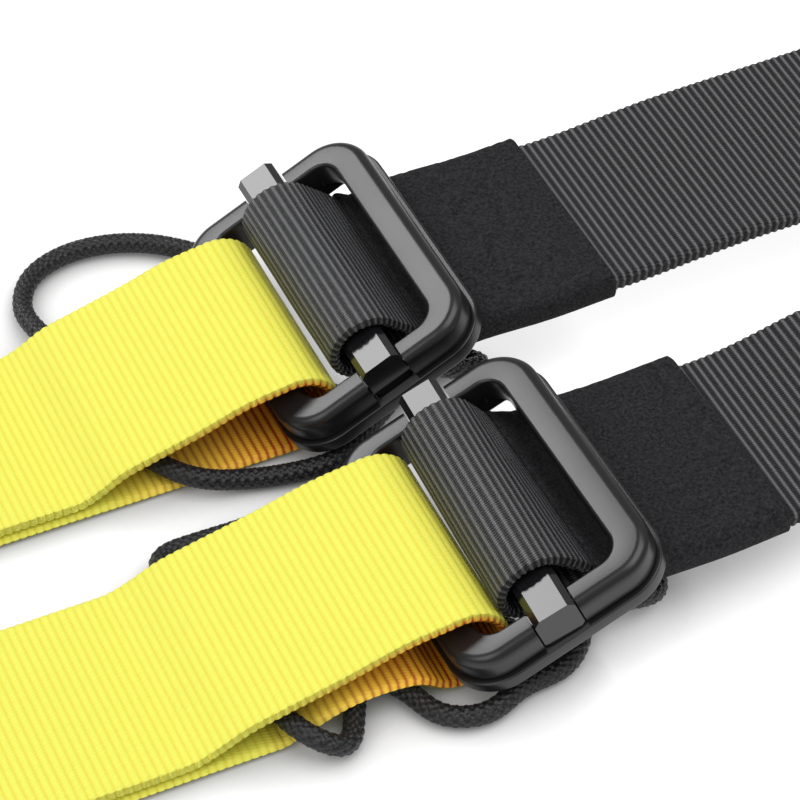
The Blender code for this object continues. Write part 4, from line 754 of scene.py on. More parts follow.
def cast_ring(name, side, finish):
    """The cast ring with fine rounded edges, notched for the cross bar."""
    outer_x = RING_OPENING_LENGTH / 2 + RING_END_BAR
    outer_y = RING_OPENING_WIDTH / 2 + RING_SIDE_BAR
    to_ring = side.ring_matrix()
    loops = []
    for reach, z, corner in ring_section():
        outside = corner == RING_OUTER_CORNER
        half_x = (outer_x if outside else RING_OPENING_LENGTH / 2) + reach
        half_y = (outer_y if outside else RING_OPENING_WIDTH / 2) + reach
        outline = rounded_rectangle(half_x, half_y, corner + reach, RING_CORNER_STEPS)
        loops.append([to_ring @ Vector((x, y, z)) for x, y in outline])
    ring = lofted(name, loops, finish, True, CAST_SHARP_DEG)
    half_notch = CROSS_BAR_SIZE / 2 + NOTCH_SIDE_CLEARANCE
    notch_y = outer_y + RING_LIP_REACH + CUT_OVERRUN
    notch_floor = CROSS_BAR_STANDS_PROUD - CROSS_BAR_SIZE - CLEARANCE
    cut(ring, (CROSS_BAR_SHIFT_X - half_notch, -notch_y, notch_floor),
        (CROSS_BAR_SHIFT_X + half_notch, notch_y, CUT_OVERRUN), side.bar_matrix())
    return ring


def cut(piece, low, high, matrix):
    """Cut a box out of a piece."""
    box = [matrix @ Vector(corner) for corner in product(*zip(low, high))]
    faces = [(0, 1, 3, 2), (4, 6, 7, 5), (0, 4, 5, 1), (2, 3, 7, 6), (0, 2, 6, 4), (1, 5, 7, 3)]
    cutter = solid("cutter", box, faces, piece.data.materials[0])
    change = piece.modifiers.new("cut", "BOOLEAN")
    change.operation = "DIFFERENCE"
    change.solver = "EXACT"
    change.object = cutter
    bpy.context.view_layer.update()
    shape = piece.evaluated_get(bpy.context.evaluated_depsgraph_get())
    result = bpy.data.meshes.new_from_object(shape)
    piece.modifiers.remove(change)
    piece.data = result
    bpy.data.objects.remove(cutter)
    result.shade_smooth()
    result.set_sharp_from_angle(angle=radians(CAST_SHARP_DEG))


def cord_points(side):
    """Centre line of a release cord, from one mouth of the eye to the other."""
    half = EYE_STEM_LENGTH / 2 + CLEARANCE
    straight = half + CORD_RADIUS
    mouths = []
    for reach in (-half, -straight, straight, half):
        mouths.append(side.bar_matrix() @ Vector((CROSS_BAR_SHIFT_X + reach, EYE_CENTRE_Y, EYE_CENTRE_Z)))
    origin = Vector((side.x + ORIGIN_X, side.y + ORIGIN_Y, 0))
    route = []
    for point in side.route:
        route.append(origin + Vector([value / 1000 for value in (*point, CORD_ON_FLOOR_MM)[:3]]))
    points = smooth_through([mouths[1]] + route + [mouths[2]], CORD_POINT_STEP)
    return [mouths[0]] + points + [mouths[3]]


def relaxed(line):
    """A line with its sharp bends eased, and its two ends held."""
    places = [point.copy() for point in line]
    for _ in range(EASE_ROUNDS):
        softer = [(a + b + 2 * at) / 4 for a, at, b in zip(places, places[1:], places[2:])]
        places[EASE_HELD:-EASE_HELD] = softer[EASE_HELD - 1:1 - EASE_HELD]
    return places


def braided(name, knots, radius, finish, step):
    """A braided cord as a mesh tube, its strands in relief. Returns the piece and its line."""
    line = relaxed(smooth_through(knots, step))
    loops, reliefs = [], []
    normal = Vector((0, 0, 1))
    walked = 0.0
    for index, point in enumerate(line):
        behind, ahead = around(line, index)
        along = (ahead - behind).normalized()
        normal = (normal - along * normal.dot(along)).normalized()
        other = along.cross(normal)
        run = walked / STRAND_PITCH
        loop = []
        for spot in range(CORD_AROUND):
            angle = 2 * pi * spot / CORD_AROUND
            turn = angle * STRANDS / (2 * pi)
            strands = [turn + run, turn - run]
            if (int(strands[0] // 1) + int(strands[1] // 1)) % 2 == 0:
                strands.reverse()
            ridge, crown = [sin(pi * (strand % 1)) for strand in strands]
            relief = ridge ** STRAND_FLATNESS * (STRAND_SHOULDER + (1 - STRAND_SHOULDER) * crown)
            reach = radius * (1 - STRAND_DEPTH_SHARE * (1 - relief))
            loop.append(point + reach * (normal * cos(angle) + other * sin(angle)))
            reliefs.append(relief)
        loops.append(loop)
        walked += (ahead - point).length
    return lofted(name, loops, finish, False, BRAID_SHARP_DEG, {"relief": reliefs}), line


def felt_sleeve(name, side, finish):
    """Napped tube over the folded webbing, open at both ends, with rounded rims."""
    path = blended_row(side.sleeve_path(), SLEEVE_STEP)
    place = side.place(side.yaw)
    seed = side.y * 50

    def ring(index, inset=0.0, shift=0.0):
        """One loop of the tube, so far inside its outer face and so far along."""
        (x, z), (behind, ahead) = path[index], around(path, index)
        run = hypot(ahead[0] - behind[0], ahead[1] - behind[1])
        ax, az = (ahead[0] - behind[0]) / run, (ahead[1] - behind[1]) / run
        half_width, half_height = SLEEVE_WIDTH / 2 - inset, SLEEVE_HEIGHT / 2 - inset
        corner = half_height * SLEEVE_CORNER_SHARE
        outline = rounded_rectangle(half_width, half_height, corner, SLEEVE_CORNER_STEPS, SLEEVE_FLAT_STEPS)
        row = []
        for y, up in outline:
            at = Vector((x + ax * shift - az * up, SLEEVE_SHIFT_Y + y, z + az * shift + ax * up))
            rough = noise(at * NAP_RATE + Vector((7, 3, seed))) * NAP_HEIGHT
            soft = noise(at * WAVE_RATE + Vector((2, 9, seed))) * NAP_WAVE
            at += Vector((0, 0, (rough + soft) * (1 if up > 0 else UNDERSIDE_SHARE)))
            if up > 0:
                from_seam = (abs(y) - (SLEEVE_WIDTH / 2 - PUCKER_INSET)) / PUCKER_WIDTH
                pucker = max(0.0, noise(Vector((x * PUCKER_RATE, 3.0, seed + y))))
                at.z -= PUCKER_DEPTH * pucker * max(0.0, 1 - from_seam ** 2)
            row.append(place @ at)
        return row

    last = len(path) - 1 - SLEEVE_SHORTER
    rim = SLEEVE_WALL / 2
    outside = [ring(index) for index in range(last + 1)]
    inside = [ring(index, SLEEVE_WALL) for index in range(last, -1, -1)]
    return lofted(name, outside + [ring(last, rim, rim)] + inside + [ring(0, rim, -rim)], finish)


def foam_grip(name, to_seam, finish):
    """Foam sleeve of the handle, with rounded ends."""
    to_tube = to_seam @ Matrix.Translation((HANDLE_DISTANCE, 0, GRIP_RADIUS))
    inner = HANDLE_TUBE_RADIUS + CLEARANCE
    half = HANDLE_TUBE_LENGTH / 2 - CAP_SKIRT - CLEARANCE
    flat = half - GRIP_END_ROUND
    lower = arc((0, 0), GRIP_END_ROUND, 180, 90, GRIP_ROUND_STEPS)
    upper = arc((0, 0), GRIP_END_ROUND, 90, 0, GRIP_ROUND_STEPS)
    profile = [(inner, -half)] + [(GRIP_RADIUS - GRIP_END_ROUND + z, y - flat) for y, z in lower]
    profile += [(GRIP_RADIUS, 2 * flat * step / GRIP_STEPS - flat) for step in range(1, GRIP_STEPS)]
    profile += [(GRIP_RADIUS - GRIP_END_ROUND + z, y + flat) for y, z in upper] + [(inner, half)]
    loops = []
    for step in range(GRIP_AROUND):
        angle = 2 * pi * step / GRIP_AROUND
        loops.append([to_tube @ Vector((r * cos(angle), along, r * sin(angle))) for r, along in profile])
    return lofted(name, loops, finish)


def band(name, side, finish):
    """Elastic band round the stowed runs."""
    middle = -BUNDLE_START - BUNDLE_RUN / 2
    corner = TIE_THICKNESS / 2
    half_y = WEB_WIDTH / 2 + 2 * CLEARANCE + corner
    low = UPPER_LAYER_HEIGHT - HALF_WEB - CLEARANCE
    high = UPPER_LAYER_HEIGHT + (BUNDLE_RUNS - 1) * RUN_PITCH + HALF_WEB + CLEARANCE
    half, rim = TIE_WIDTH / 2, TIE_THICKNESS * TIE_RIM_SHARE
    section = [(0, -half), (TIE_THICKNESS - rim, -half)]
    for step in range(TIE_STEPS + 1):
        section.append((TIE_THICKNESS, rim - half + 2 * (half - rim) * step / TIE_STEPS))
    section += [(TIE_THICKNESS - rim, half), (0, half)]
    place = side.place()
    loops = []
    for grow, x in section:
        outline = rounded_rectangle(half_y + grow, (high - low) / 2 + grow, corner + grow, TIE_CORNER_STEPS)
        loops.append([place @ Vector((middle + x, y, z + (high + low) / 2)) for y, z in outline])
    return lofted(name, loops, finish)


def shader_group(name, place, values, masks):
    """A node group that turns a place and values into a normal and masks. Its own inputs come along."""
    group = bpy.data.node_groups.new(name, "ShaderNodeTree")
    group.interface.new_socket(name=place, in_out="INPUT", socket_type="NodeSocketVector")
    for label, default in values.items():
        socket = group.interface.new_socket(name=label, in_out="INPUT", socket_type="NodeSocketFloat")
        socket.default_value = default
    group.interface.new_socket(name="Normal", in_out="OUTPUT", socket_type="NodeSocketVector")
    for label in masks:
        group.interface.new_socket(name=label, in_out="OUTPUT", socket_type="NodeSocketFloat")
    return group, group.nodes.new("NodeGroupInput").outputs, group.nodes.new("NodeGroupOutput").inputs


def join(tree, source, target):
    """Link a socket, or set a value or a colour, on a target socket."""
    if isinstance(source, bpy.types.NodeSocket):
        tree.links.new(source, target)
    elif target.type == "RGBA":
        target.default_value = (*source, 1.0)
    else:
        target.default_value = source


def maths(tree, operation, first, second=0.5, clamp=False):
    """One Math node. Its inputs are sockets or numbers."""
    node = tree.nodes.new("ShaderNodeMath")
    node.operation = operation
    node.use_clamp = clamp
    join(tree, first, node.inputs[0])
    join(tree, second, node.inputs[1])
    return node.outputs[0]


def bump(tree, height, target):
    """Give a socket the normal of a height in metres."""
    node = tree.nodes.new("ShaderNodeBump")
    join(tree, height, node.inputs["Height"])
    join(tree, 1.0, node.inputs["Strength"])
    join(tree, 1.0, node.inputs["Distance"])
    join(tree, node.outputs["Normal"], target)


def noise_value(tree, vector, scale, detail=2.0):
    """Noise at a vector, with a scale in cells per metre."""
    node = tree.nodes.new("ShaderNodeTexNoise")
    join(tree, vector, node.inputs["Vector"])
    join(tree, scale, node.inputs["Scale"])
    join(tree, detail, node.inputs["Detail"])
    return node.outputs["Fac"]


def weave_group():
    """Ribs across the webbing, with the threads that cross them. The normal and two masks come out."""
    group, given, made = shader_group("Woven ribs", "Along", {
        "Carved": 0.0, "Rib pitch": 0.0013, "Thread pitch": 0.0006, "Rib height": 0.00025,
        "Thread height": 0.00006, "Sharpness": 0.6, "Crest sharpness": 0.6,
    }, ("Valley", "Thread"))
    calc = partial(maths, group)
    split = group.nodes.new("ShaderNodeSeparateXYZ")
    join(group, given["Along"], split.inputs[0])
    run = calc("DIVIDE", split.outputs["X"], given["Rib pitch"])
    wave = calc("ABSOLUTE", calc("SINE", calc("MULTIPLY", run, pi)))
    ridge = calc("POWER", wave, given["Sharpness"])
    odd = calc("MULTIPLY", calc("MODULO", calc("FLOOR", run), 2.0), 0.5)
    across = calc("ADD", calc("DIVIDE", split.outputs["Y"], given["Thread pitch"]), odd)
    slant = calc("ADD", across, calc("MULTIPLY", calc("FRACT", run), THREAD_SLANT))
    thread = calc("ABSOLUTE", calc("SINE", calc("MULTIPLY", slant, pi)))
    rough = noise_value(group, given["Along"], THREAD_NOISE_RATE, 3.0)
    left = calc("SUBTRACT", 1.0, given["Carved"])
    high = calc("MULTIPLY", calc("MULTIPLY", ridge, left), given["Rib height"])
    fine = calc("MULTIPLY", calc("ADD", thread, rough), given["Thread height"])
    bump(group, calc("ADD", high, fine), made["Normal"])
    join(group, calc("SUBTRACT", 1.0, calc("POWER", wave, given["Crest sharpness"])), made["Valley"])
    join(group, calc("MULTIPLY", thread, rough), made["Thread"])
    return group


def nap_group():
    """Short felted nap. The normal and a mottled mask come out."""
    values = {"Grain": 2600.0, "Height": 0.00012}
    group, given, made = shader_group("Felted nap", "Place", values, ("Mottle",))
    calc = partial(maths, group)
    fine = noise_value(group, given["Place"], given["Grain"], 4.0)
    coarse = noise_value(group, given["Place"], calc("DIVIDE", given["Grain"], 3.0))
    bump(group, calc("MULTIPLY", calc("ADD", fine, coarse), given["Height"]), made["Normal"])
    join(group, calc("MULTIPLY", fine, coarse), made["Mottle"])
    return group


def coat_group():
    """Fine orange-peel of a sprayed or moulded surface. The normal and a wear mask come out."""
    values = {"Grain": 3500.0, "Height": 0.000004}
    group, given, made = shader_group("Sprayed skin", "Place", values, ("Cloud",))
    calc = partial(maths, group)
    fine = noise_value(group, given["Place"], given["Grain"])
    bump(group, calc("MULTIPLY", fine, given["Height"]), made["Normal"])
    join(group, noise_value(group, given["Place"], calc("DIVIDE", given["Grain"], 30.0), 3.0), made["Cloud"])
    return group


def new_material(name, roughness, metallic, gloss):
    """A Principled material, its tree and its shader's inputs."""
    made = bpy.data.materials.new(name)
    made.use_nodes = True
    shader = made.node_tree.nodes["Principled BSDF"].inputs
    for label, value in (("Roughness", roughness), ("Metallic", metallic), ("Specular IOR Level", gloss)):
        shader[label].default_value = value
    return made, made.node_tree, shader


def surface(name, group, values, roughness, metallic, gloss):
    """A material whose normal comes from a node group: its tree, its shader's inputs and the group node."""
    _, tree, shader = new_material(name, roughness, metallic, gloss)
    node = tree.nodes.new("ShaderNodeGroup")
    node.node_tree = group
    for label, value in values.items():
        join(tree, value, node.inputs[label])
    if "Place" in node.inputs:
        join(tree, tree.nodes.new("ShaderNodeTexCoord").outputs["Object"], node.inputs["Place"])
    join(tree, node.outputs["Normal"], shader["Normal"])
    return tree, shader, node


def mesh_mask(tree, name):
    """A mask that the mesh carries."""
    node = tree.nodes.new("ShaderNodeAttribute")
    node.attribute_name = name
    return node.outputs["Fac"]


def mixed(tree, mask, first, second):
    """A colour between two colours or colour sockets, by a mask."""
    node = tree.nodes.new("ShaderNodeMix")
    node.data_type = "RGBA"
    join(tree, mask, node.inputs["Factor"])
    join(tree, first, node.inputs["A"])
    join(tree, second, node.inputs["B"])
    return node.outputs["Result"]


def web_material(name, group, crest, valley, look, roughness, gloss, fold_shade_tones=None):
    """Woven webbing in two tones, a painted highlight on black crests and painted shade in yellow valleys,
    and two tones of painted shade and bounced light where it folds inwards.
    """
    tree, shader, node = surface(name, group, {
        "Rib pitch": look["pitch"], "Thread pitch": look["thread"], "Rib height": look["height"],
        "Thread height": look["thread_height"], "Sharpness": look["sharp"], "Crest sharpness": look["crest"],
    }, roughness, 0.0, gloss)
    along = tree.nodes.new("ShaderNodeUVMap")
    along.uv_map = "Along"
    join(tree, along.outputs["UV"], node.inputs["Along"])
    join(tree, mesh_mask(tree, "relief"), node.inputs["Carved"])
    mask = maths(tree, "MULTIPLY", node.outputs["Valley"], look["valley"], True)
    fleck = maths(tree, "MULTIPLY", node.outputs["Thread"], look["fleck"])
    mask = maths(tree, "ADD", mask, fleck, True)
    # From rib crest to valley: on the black webbing the crest tone is a painted highlight, on the yellow the
    # valley tone is painted shade; the thread flecks move the tone between the two
    tone = mixed(tree, mask, crest, valley)
    # Inside the fold, painted shade and bounced light in two tones of their own
    if fold_shade_tones:
        spread = maths(tree, "MULTIPLY", maths(tree, "SUBTRACT", mask, FOLD_SHADE_FROM), FOLD_SHADE_GAIN, True)
        tone = mixed(tree, mesh_mask(tree, "depth"), tone, mixed(tree, spread, *fold_shade_tones))
    join(tree, tone, shader["Base Color"])


def felt_material(name, group, light, dark, grain, height, roughness=0.95, gloss=0.2):
    """Felted cloth or closed-cell foam."""
    values = {"Grain": grain, "Height": height}
    tree, shader, node = surface(name, group, values, roughness, 0.0, gloss)
    mottle = maths(tree, "SUBTRACT", node.outputs["Mottle"], MOTTLE_FROM)
    mask = maths(tree, "MULTIPLY", mottle, MOTTLE_GAIN, True)
    join(tree, mixed(tree, mask, dark, light), shader["Base Color"])


def coat_material(name, group, colour, roughness, metallic, height, spread, gloss=0.5):
    """Painted, moulded or machined surface with a fine skin."""
    tree, shader, node = surface(name, group, {"Height": height}, roughness, metallic, gloss)
    join(tree, colour, shader["Base Color"])
    vary = maths(tree, "MULTIPLY", maths(tree, "SUBTRACT", node.outputs["Cloud"], 0.5), spread)
    join(tree, maths(tree, "ADD", vary, roughness), shader["Roughness"])


def cord_material(name, group, light, dark):
    """Braided cord whose strands are modelled: painted shade between them, with fine threads."""
    tree, shader, node = surface(name, group, {"Grain": 5200.0, "Height": 0.00007}, 0.27, 0.0, 0.3)
    # Dark between the strands and light on them, by the strands' relief: painted shade
    join(tree, mixed(tree, mesh_mask(tree, "relief"), dark, light), shader["Base Color"])


# Weaves: ribs and threads in metres, where along X the ribs are modelled, and tones by shares
YELLOW = {
    "pitch": 0.00139, "height": 0.00011, "scallop": 0.0002, "sharp": 0.6, "crest": 0.6, "wander": 0.00012,
    "fine": (-0.062, 0.045), "coarse_step": 0.0016, "seed": 3.0,
    "thread": 0.0006, "thread_height": 0.00004, "valley": 0.85, "fleck": 0.25,
}
BLACK = {
    "pitch": 0.00138, "height": 0.00013, "scallop": 0.00026, "sharp": 1.6, "crest": 6.0, "wander": 0.00008,
    "fine": (0.02, 0.165), "coarse_step": 0.002, "seed": 5.0,
    "thread": 0.00045, "thread_height": 0.00012, "valley": 1.0, "fleck": -0.28,
}
FOLDED = BLACK | {
    "pitch": 0.00106, "height": 0.00012, "scallop": 0.0002, "crest": 5.0, "wander": 0.0001, "seed": 6.0,
    "thread_height": 0.00016, "fleck": -0.34,
}
# Webbing outside the picture: no rib is modelled, since its fine stretch lies beyond the object
PLAIN = BLACK | {"wander": 0.0, "fine": (9.0, 9.1), "coarse_step": 0.0012}

tone_setting = partial(FloatVectorProperty, subtype="COLOR", size=3, min=0.0, max=1.0)
length_setting = partial(FloatProperty, unit="LENGTH", subtype="DISTANCE")
power_setting = partial(FloatProperty, unit="POWER", min=0.0, max=1000.0)


class TrainerSettings(bpy.types.PropertyGroup):
    """What the trainer's looks are made from."""

    yellow_crest: tone_setting(
        name="Yellow crest", description="Colour of the yellow webbing's ribs", default=(0.77, 0.77, 0.115),
    )
    # Painted shade between the yellow webbing's ribs
    yellow_valley_shade: tone_setting(
        name="Yellow valley shade", description="Colour between the yellow webbing's ribs",
        default=(0.72, 0.62, 0.045),
    )
    # Painted shade and bounced light inside the yellow fold, on its ribs and between them
    fold_shade_crest: tone_setting(
        name="Fold shade crest", description="Colour of the yellow ribs inside the fold", default=(1.0, 0.5, 0.03),
    )
    fold_shade_valley: tone_setting(
        name="Fold shade valley", description="Colour between the yellow ribs inside the fold",
        default=(0.5, 0.012, 0.001),
    )
    # Painted highlight on the black webbing's ribs
    black_crest_highlight: tone_setting(
        name="Black crest highlight", description="Colour of the black webbing's ribs", default=(0.135, 0.135, 0.14),
    )
    black_valley: tone_setting(
        name="Black valley", description="Colour between the black webbing's ribs",
        default=(0.005, 0.005, 0.006),
    )
    cord_radius: length_setting(
        name="Cord radius", description="Half the release cord's thickness", default=CORD_RADIUS,
        min=0.0005, max=0.004,
    )
    cord_step: length_setting(
        name="Cord step", description="Spacing of the rings that make the braid", default=0.00021,
        min=0.0001, max=0.002,
    )
    web_across: IntProperty(
        name="Webbing columns", description="Columns of faces across a strap", default=36, min=8, max=120,
    )
    key_power: power_setting(
        name="Key light", description="Power of the large softbox behind the object", default=6.5,
    )
    fill_power: power_setting(
        name="Fill light", description="Power of the softbox on the camera's left", default=4.0,
    )
    top_power: power_setting(
        name="Top light", description="Power of the wide softbox overhead", default=11.5,
    )
    sky: FloatProperty(
        name="Sky", description="Strength of the even studio light", default=0.4, min=0.0, max=10.0,
    )


def settings():
    """The scene's settings."""
    return bpy.context.scene.trainer_settings


def finish_of(name):
    """A material made earlier by the finishes operator."""
    return bpy.data.materials[name]


def dress(nodes, material_name):
    """Give CAD nodes a finish."""
    for name in nodes:
        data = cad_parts[name].data
        data.materials.clear()
        data.materials.append(finish_of(material_name))


def soften(name, width):
    """Rounded edges that catch the light, as a machined piece has."""
    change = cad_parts[name].modifiers.new("worn_edges", "BEVEL")
    change.width = width
    change.segments = BEVEL_SEGMENTS
    change.limit_method = "ANGLE"
    change.angle_limit = radians(BEVEL_FROM_DEG)


class TRAINER_OT_finishes(bpy.types.Operator):
    """Make the node groups and materials"""

    bl_idname = "trainer.finishes"
    bl_label = "Make finishes"

    def execute(self, context):
        values = settings()
        weave, nap, skin = weave_group(), nap_group(), coat_group()
        # The fold tones paint the shade and bounced light inside the yellow fold
        yellow, fold_shade_tones = (values.yellow_crest, values.yellow_valley_shade), (values.fold_shade_crest, values.fold_shade_valley)
        # The black crest tone is a painted highlight on the ribs of the black webbing and of its folds
        black = (values.black_crest_highlight, values.black_valley)
        web_material("yellow_webbing_look", weave, *yellow, YELLOW, 0.62, 0.3, fold_shade_tones)
        web_material("black_webbing_look", weave, *black, BLACK, 0.45, 0.15)
        web_material("folded_webbing_look", weave, *black, FOLDED, 0.36, 0.4)
        felt_material("sleeve_felt_look", nap, (0.034, 0.033, 0.036), (0.006, 0.006, 0.007), 5200.0, 0.00022)
        felt_material("foam_look", nap, (0.03, 0.03, 0.032), (0.015, 0.015, 0.016), 1500.0, 0.00006,
                      0.8, 0.3)
        # The cord's dark tone is painted shade between its strands
        cord_material("cord_look", nap, (0.026, 0.026, 0.028), (0.0004, 0.0004, 0.0005))
        coat_material("cast_metal_look", skin, (0.008, 0.008, 0.009), 0.3, 0.0, 0.000001, 0.04)
        coat_material("bar_metal_look", skin, (0.008, 0.008, 0.009), 0.13, 0.0, 0.000001, 0.03, 0.6)
        coat_material("steel_look", skin, (0.55, 0.55, 0.56), 0.3, 1.0, 0.000003, 0.1)
        coat_material("plastic_look", skin, (0.02, 0.02, 0.021), 0.45, 0.0, 0.00001, 0.1)
        return {"FINISHED"}


class TRAINER_OT_castings(bpy.types.Operator):
    """Finish the rings, cross bars and cam frames"""

    bl_idname = "trainer.castings"
    bl_label = "Finish castings"

    def execute(self, context):
        for side in SIDES:
            mark = side.name
            ring = cast_ring(f"ring_buckle_{mark}_cast", side, finish_of("cast_metal_look"))
            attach(ring, f"ring_{mark}")
            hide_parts(f"ring_buckle_{mark}")
            dress([f"cross_bar_{mark}"], "bar_metal_look")
            dress([f"cam_frame_{mark}"], "cast_metal_look")
            dress([f"cam_lever_{mark}", f"handle_tube_{mark}"], "plastic_look")
            dress([f"end_cap_left_{mark}", f"end_cap_right_{mark}"], "plastic_look")
            dress([f"cam_pin_{mark}", f"cam_spring_{mark}"], "steel_look")
            soften(f"cross_bar_{mark}", BAR_EDGE_ROUND)
        return {"FINISHED"}


class TRAINER_OT_anchor(bpy.types.Operator):
    """Build the anchor strap, and finish the anchor ring and carabiner"""

    bl_idname = "trainer.anchor"
    bl_label = "Build anchor"

    def execute(self, context):
        dress(["anchor_ring", "carabiner_body", "carabiner_gate", "gate_pin"], "steel_look")
        dress(["lock_sleeve"], "plastic_look")
        low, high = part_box("anchor_strap")
        left_x = -ANCHOR_BAR_DISTANCE - ANCHOR_RING_LENGTH
        loop_radius = CARABINER_BAR_RADIUS + CLEARANCE + HALF_WEB
        seam_x = left_x - ANCHOR_STRAP_LENGTH / 2
        slope = tan(radians(ANCHOR_LEAVE_DEG))
        lean = 90 - ANCHOR_LEAVE_DEG
        path = [(seam_x + CLEARANCE, HALF_WEB)]
        path += arc((left_x, ANCHOR_LOOP_RADIUS + HALF_WEB), ANCHOR_LOOP_RADIUS, -90, 180 - lean, BEND_STEPS)
        path.append((path[-1][0] - (path[-1][1] - UPPER_LAYER_HEIGHT) / slope, UPPER_LAYER_HEIGHT))
        eye = (left_x - ANCHOR_STRAP_LENGTH, loop_radius + HALF_WEB)
        fold = arc(eye, loop_radius, lean, 270, BEND_STEPS)
        path.append((fold[0][0] + (fold[0][1] - UPPER_LAYER_HEIGHT) / slope, UPPER_LAYER_HEIGHT))
        path += fold + [(seam_x - CLEARANCE, HALF_WEB)]
        place = Matrix.Translation((ORIGIN_X, (low.y + high.y) / 2, 0))
        strap = webbing("anchor_strap_woven", *level(path), ANCHOR_STRAP_WIDTH, WEB_THICKNESS,
                        finish_of("black_webbing_look"), PLAIN, place)
        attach(strap, "root")
        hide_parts("anchor_strap")
        return {"FINISHED"}


class TRAINER_OT_yellow(bpy.types.Operator):
    """Build the yellow straps with their folds and stowed runs"""

    bl_idname = "trainer.yellow"
    bl_label = "Build yellow straps"

    def execute(self, context):
        for side in SIDES:
            hollow = side.place() @ Vector((side.bar[0], 0, side.bar[1]))
            strap = webbing(f"yellow_strap_{side.name}_woven", *level(yellow_path(side)), WEB_WIDTH,
                            WEB_THICKNESS, finish_of("yellow_webbing_look"), YELLOW, side.place(),
                            settings().web_across, hollow)
            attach(strap, "root")
            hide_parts(f"yellow_strap_{side.name}")
            tie = band(f"bundle_tie_{side.name}_woven", side, finish_of("foam_look"))
            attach(tie, "root")
            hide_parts(f"bundle_tie_{side.name}")
        return {"FINISHED"}


class TRAINER_OT_black(bpy.types.Operator):
    """Build the black straps, their folds round the cross bars, and the sleeves"""

    bl_idname = "trainer.black"
    bl_label = "Build black straps"

    def execute(self, context):
        across = settings().web_across
        for side in SIDES:
            place = side.place(side.yaw)
            fold = webbing(f"bar_loop_{side.name}_woven", *level(bar_loop_path(side), BAR_LOOP_SHIFT_Y),
                           BAR_LOOP_WIDTH, WEB_THICKNESS, finish_of("folded_webbing_look"), FOLDED, place,
                           across)
            mouth_x = side.sleeve_path()[0][0]
            back = place.inverted()
            tip_x = min((back @ vert.co).x for vert in fold.data.vertices)
            for vert in fold.data.vertices:
                spot = side.skewed(back @ vert.co, mouth_x - BAR_LOOP_RADIUS, mouth_x)
                spot.x -= FOLD_BULGE * max(0.0, 1 - ((back @ vert.co).x - tip_x) / BAR_LOOP_RADIUS) ** 0.5
                vert.co = place @ spot
            ring = side.ring_matrix()
            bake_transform(fold)
            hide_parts(f"bar_loop_{side.name}")
            centres, widths = black_strap_line(side)
            strap = webbing(f"black_strap_{side.name}_woven", centres, widths, BAR_LOOP_WIDTH, WEB_THICKNESS,
                            finish_of("black_webbing_look"), BLACK, across=across, under=DOUBLED_EXTRA)
            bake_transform(strap)
            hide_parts(f"black_strap_{side.name}")
            cover = felt_sleeve(f"sleeve_{side.name}_felt", side, finish_of("sleeve_felt_look"))
            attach(cover, f"ring_{side.name}")
            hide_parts(f"sleeve_{side.name}")
        return {"FINISHED"}


class TRAINER_OT_cords(bpy.types.Operator):
    """Build the braided release cords"""

    bl_idname = "trainer.cords"
    bl_label = "Build release cords"

    def execute(self, context):
        values = settings()
        for side in SIDES:
            knots = cord_points(side)
            piece, line = braided(f"release_cord_{side.name}_braided", knots, values.cord_radius,
                                  finish_of("cord_look"), values.cord_step)
            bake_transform(piece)
            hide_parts(f"release_cord_{side.name}")
        return {"FINISHED"}


class TRAINER_OT_handles(bpy.types.Operator):
    """Build the handle webbing, foam grips and foot loops"""

    bl_idname = "trainer.handles"
    bl_label = "Build handles"

    def execute(self, context):
        finish = finish_of("black_webbing_look")
        for side in SIDES:
            to_seam, (centres, widths), foot = handle_lines(side)
            strap = webbing(f"handle_strap_{side.name}_woven", centres, widths, HANDLE_STRAP_WIDTH,
                            WEB_THICKNESS, finish, PLAIN, to_seam)
            loop = webbing(f"foot_loop_{side.name}_woven", foot, [(0, 0, 1)] * len(foot), FOOT_LOOP_WIDTH,
                           FOOT_LOOP_THICKNESS, finish, PLAIN, to_seam)
            for piece, node in ((strap, f"handle_strap_{side.name}"), (loop, f"foot_loop_{side.name}")):
                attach(piece, "root")
                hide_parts(node)
            grip = foam_grip(f"handle_grip_{side.name}_foam", to_seam, finish_of("foam_look"))
            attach(grip, f"handle_{side.name}")
            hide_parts(f"handle_grip_{side.name}")
        return {"FINISHED"}


def facing(made, place, towards):
    """Put a light or camera at a place, looking one way."""
    bpy.context.scene.collection.objects.link(made)
    made.location = place
    made.rotation_mode = "QUATERNION"
    made.rotation_quaternion = towards.to_track_quat("-Z", "Y")


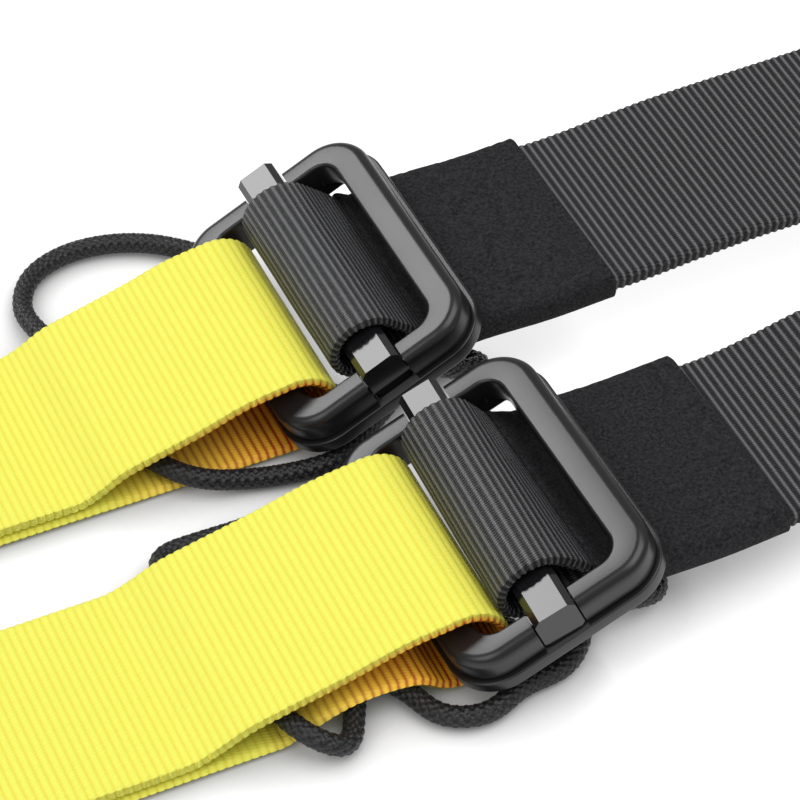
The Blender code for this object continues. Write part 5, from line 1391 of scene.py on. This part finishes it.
class TRAINER_OT_stage(bpy.types.Operator):
    """Set the floor, lights and camera"""

    bl_idname = "trainer.stage"
    bl_label = "Set stage"

    def execute(self, context):
        finish, tree, shader = new_material("floor_paper", 0.9, 0.0, 0.1)
        join(tree, (FLOOR_GREY,) * 3, shader["Base Color"])
        join(tree, (1.0,) * 3, shader["Emission Color"])
        # Painted contact shadow: the floor's glow dimmed by ambient occlusion near the objects
        open_sky = tree.nodes.new("ShaderNodeAmbientOcclusion")
        open_sky.inputs["Distance"].default_value = CONTACT_SHADE_REACH
        lit = maths(tree, "POWER", open_sky.outputs["AO"], CONTACT_SHADE_POWER)
        join(tree, maths(tree, "MULTIPLY", lit, FLOOR_GLOW), shader["Emission Strength"])
        outline = [(x * FLOOR_HALF, y * FLOOR_HALF, 0) for x, y in ((-1, -1), (1, -1), (1, 1), (-1, 1))]
        floor = solid("floor", outline, [(0, 1, 2, 3)], finish)
        floor.location.z = -FLOOR_DROP
        world = bpy.data.worlds.new("studio")
        context.scene.world = world
        world.use_nodes = True
        back = world.node_tree.nodes["Background"]
        join(world.node_tree, (1.0,) * 3, back.inputs["Color"])
        back.inputs["Strength"].default_value = settings().sky
        target = Vector(CAMERA_TARGET)
        for name, shift, size, power in SOFTBOXES:
            lamp = bpy.data.lights.new(name, "AREA")
            lamp.shape = "SQUARE"
            lamp.size = size
            lamp.energy = getattr(settings(), power)
            place = target + Vector(shift)
            facing(bpy.data.objects.new(name, lamp), place, target - place)
        azimuth, elevation = radians(CAMERA_AZIMUTH_DEG), radians(CAMERA_ELEVATION_DEG)
        away = Vector((sin(azimuth) * cos(elevation), -cos(azimuth) * cos(elevation), sin(elevation)))
        data = bpy.data.cameras.new("camera")
        data.lens = CAMERA_LENS_MM
        data.sensor_width = CAMERA_SENSOR_MM
        data.clip_start = 0.01
        data.clip_end = 50.0
        camera = bpy.data.objects.new("camera", data)
        facing(camera, target + away * CAMERA_DISTANCE, -away)
        context.scene.camera = camera
        context.scene.view_settings.view_transform = "Standard"
        return {"FINISHED"}


class TRAINER_PT_panel(bpy.types.Panel):
    """The trainer's tools in the sidebar."""

    bl_idname = "TRAINER_PT_panel"
    bl_label = "Suspension trainer"
    bl_space_type = "VIEW_3D"
    bl_region_type = "UI"
    bl_category = "Trainer"

    def draw(self, context):
        column = self.layout.column()
        for name in TrainerSettings.__annotations__:
            column.prop(context.scene.trainer_settings, name)
        for operator in OPERATORS:
            column.operator(operator.bl_idname)


OPERATORS = (
    TRAINER_OT_finishes, TRAINER_OT_castings, TRAINER_OT_anchor, TRAINER_OT_yellow, TRAINER_OT_black,
    TRAINER_OT_cords, TRAINER_OT_handles, TRAINER_OT_stage,
)
CLASSES = (TrainerSettings, *OPERATORS, TRAINER_PT_panel)


def register():
    """Add the settings, operators and panel."""
    for added in CLASSES:
        bpy.utils.register_class(added)
    bpy.types.Scene.trainer_settings = PointerProperty(type=TrainerSettings)


def unregister():
    """Take the settings, operators and panel away."""
    del bpy.types.Scene.trainer_settings
    for added in reversed(CLASSES):
        bpy.utils.unregister_class(added)


def main():
    """Build everything in order."""
    register()
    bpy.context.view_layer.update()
    bpy.ops.trainer.finishes()
    bpy.ops.trainer.castings()
    bpy.ops.trainer.anchor()
    bpy.ops.trainer.yellow()
    bpy.ops.trainer.black()
    bpy.ops.trainer.cords()
    bpy.ops.trainer.handles()
    bpy.ops.trainer.stage()


if __name__ == "__main__":
    main()
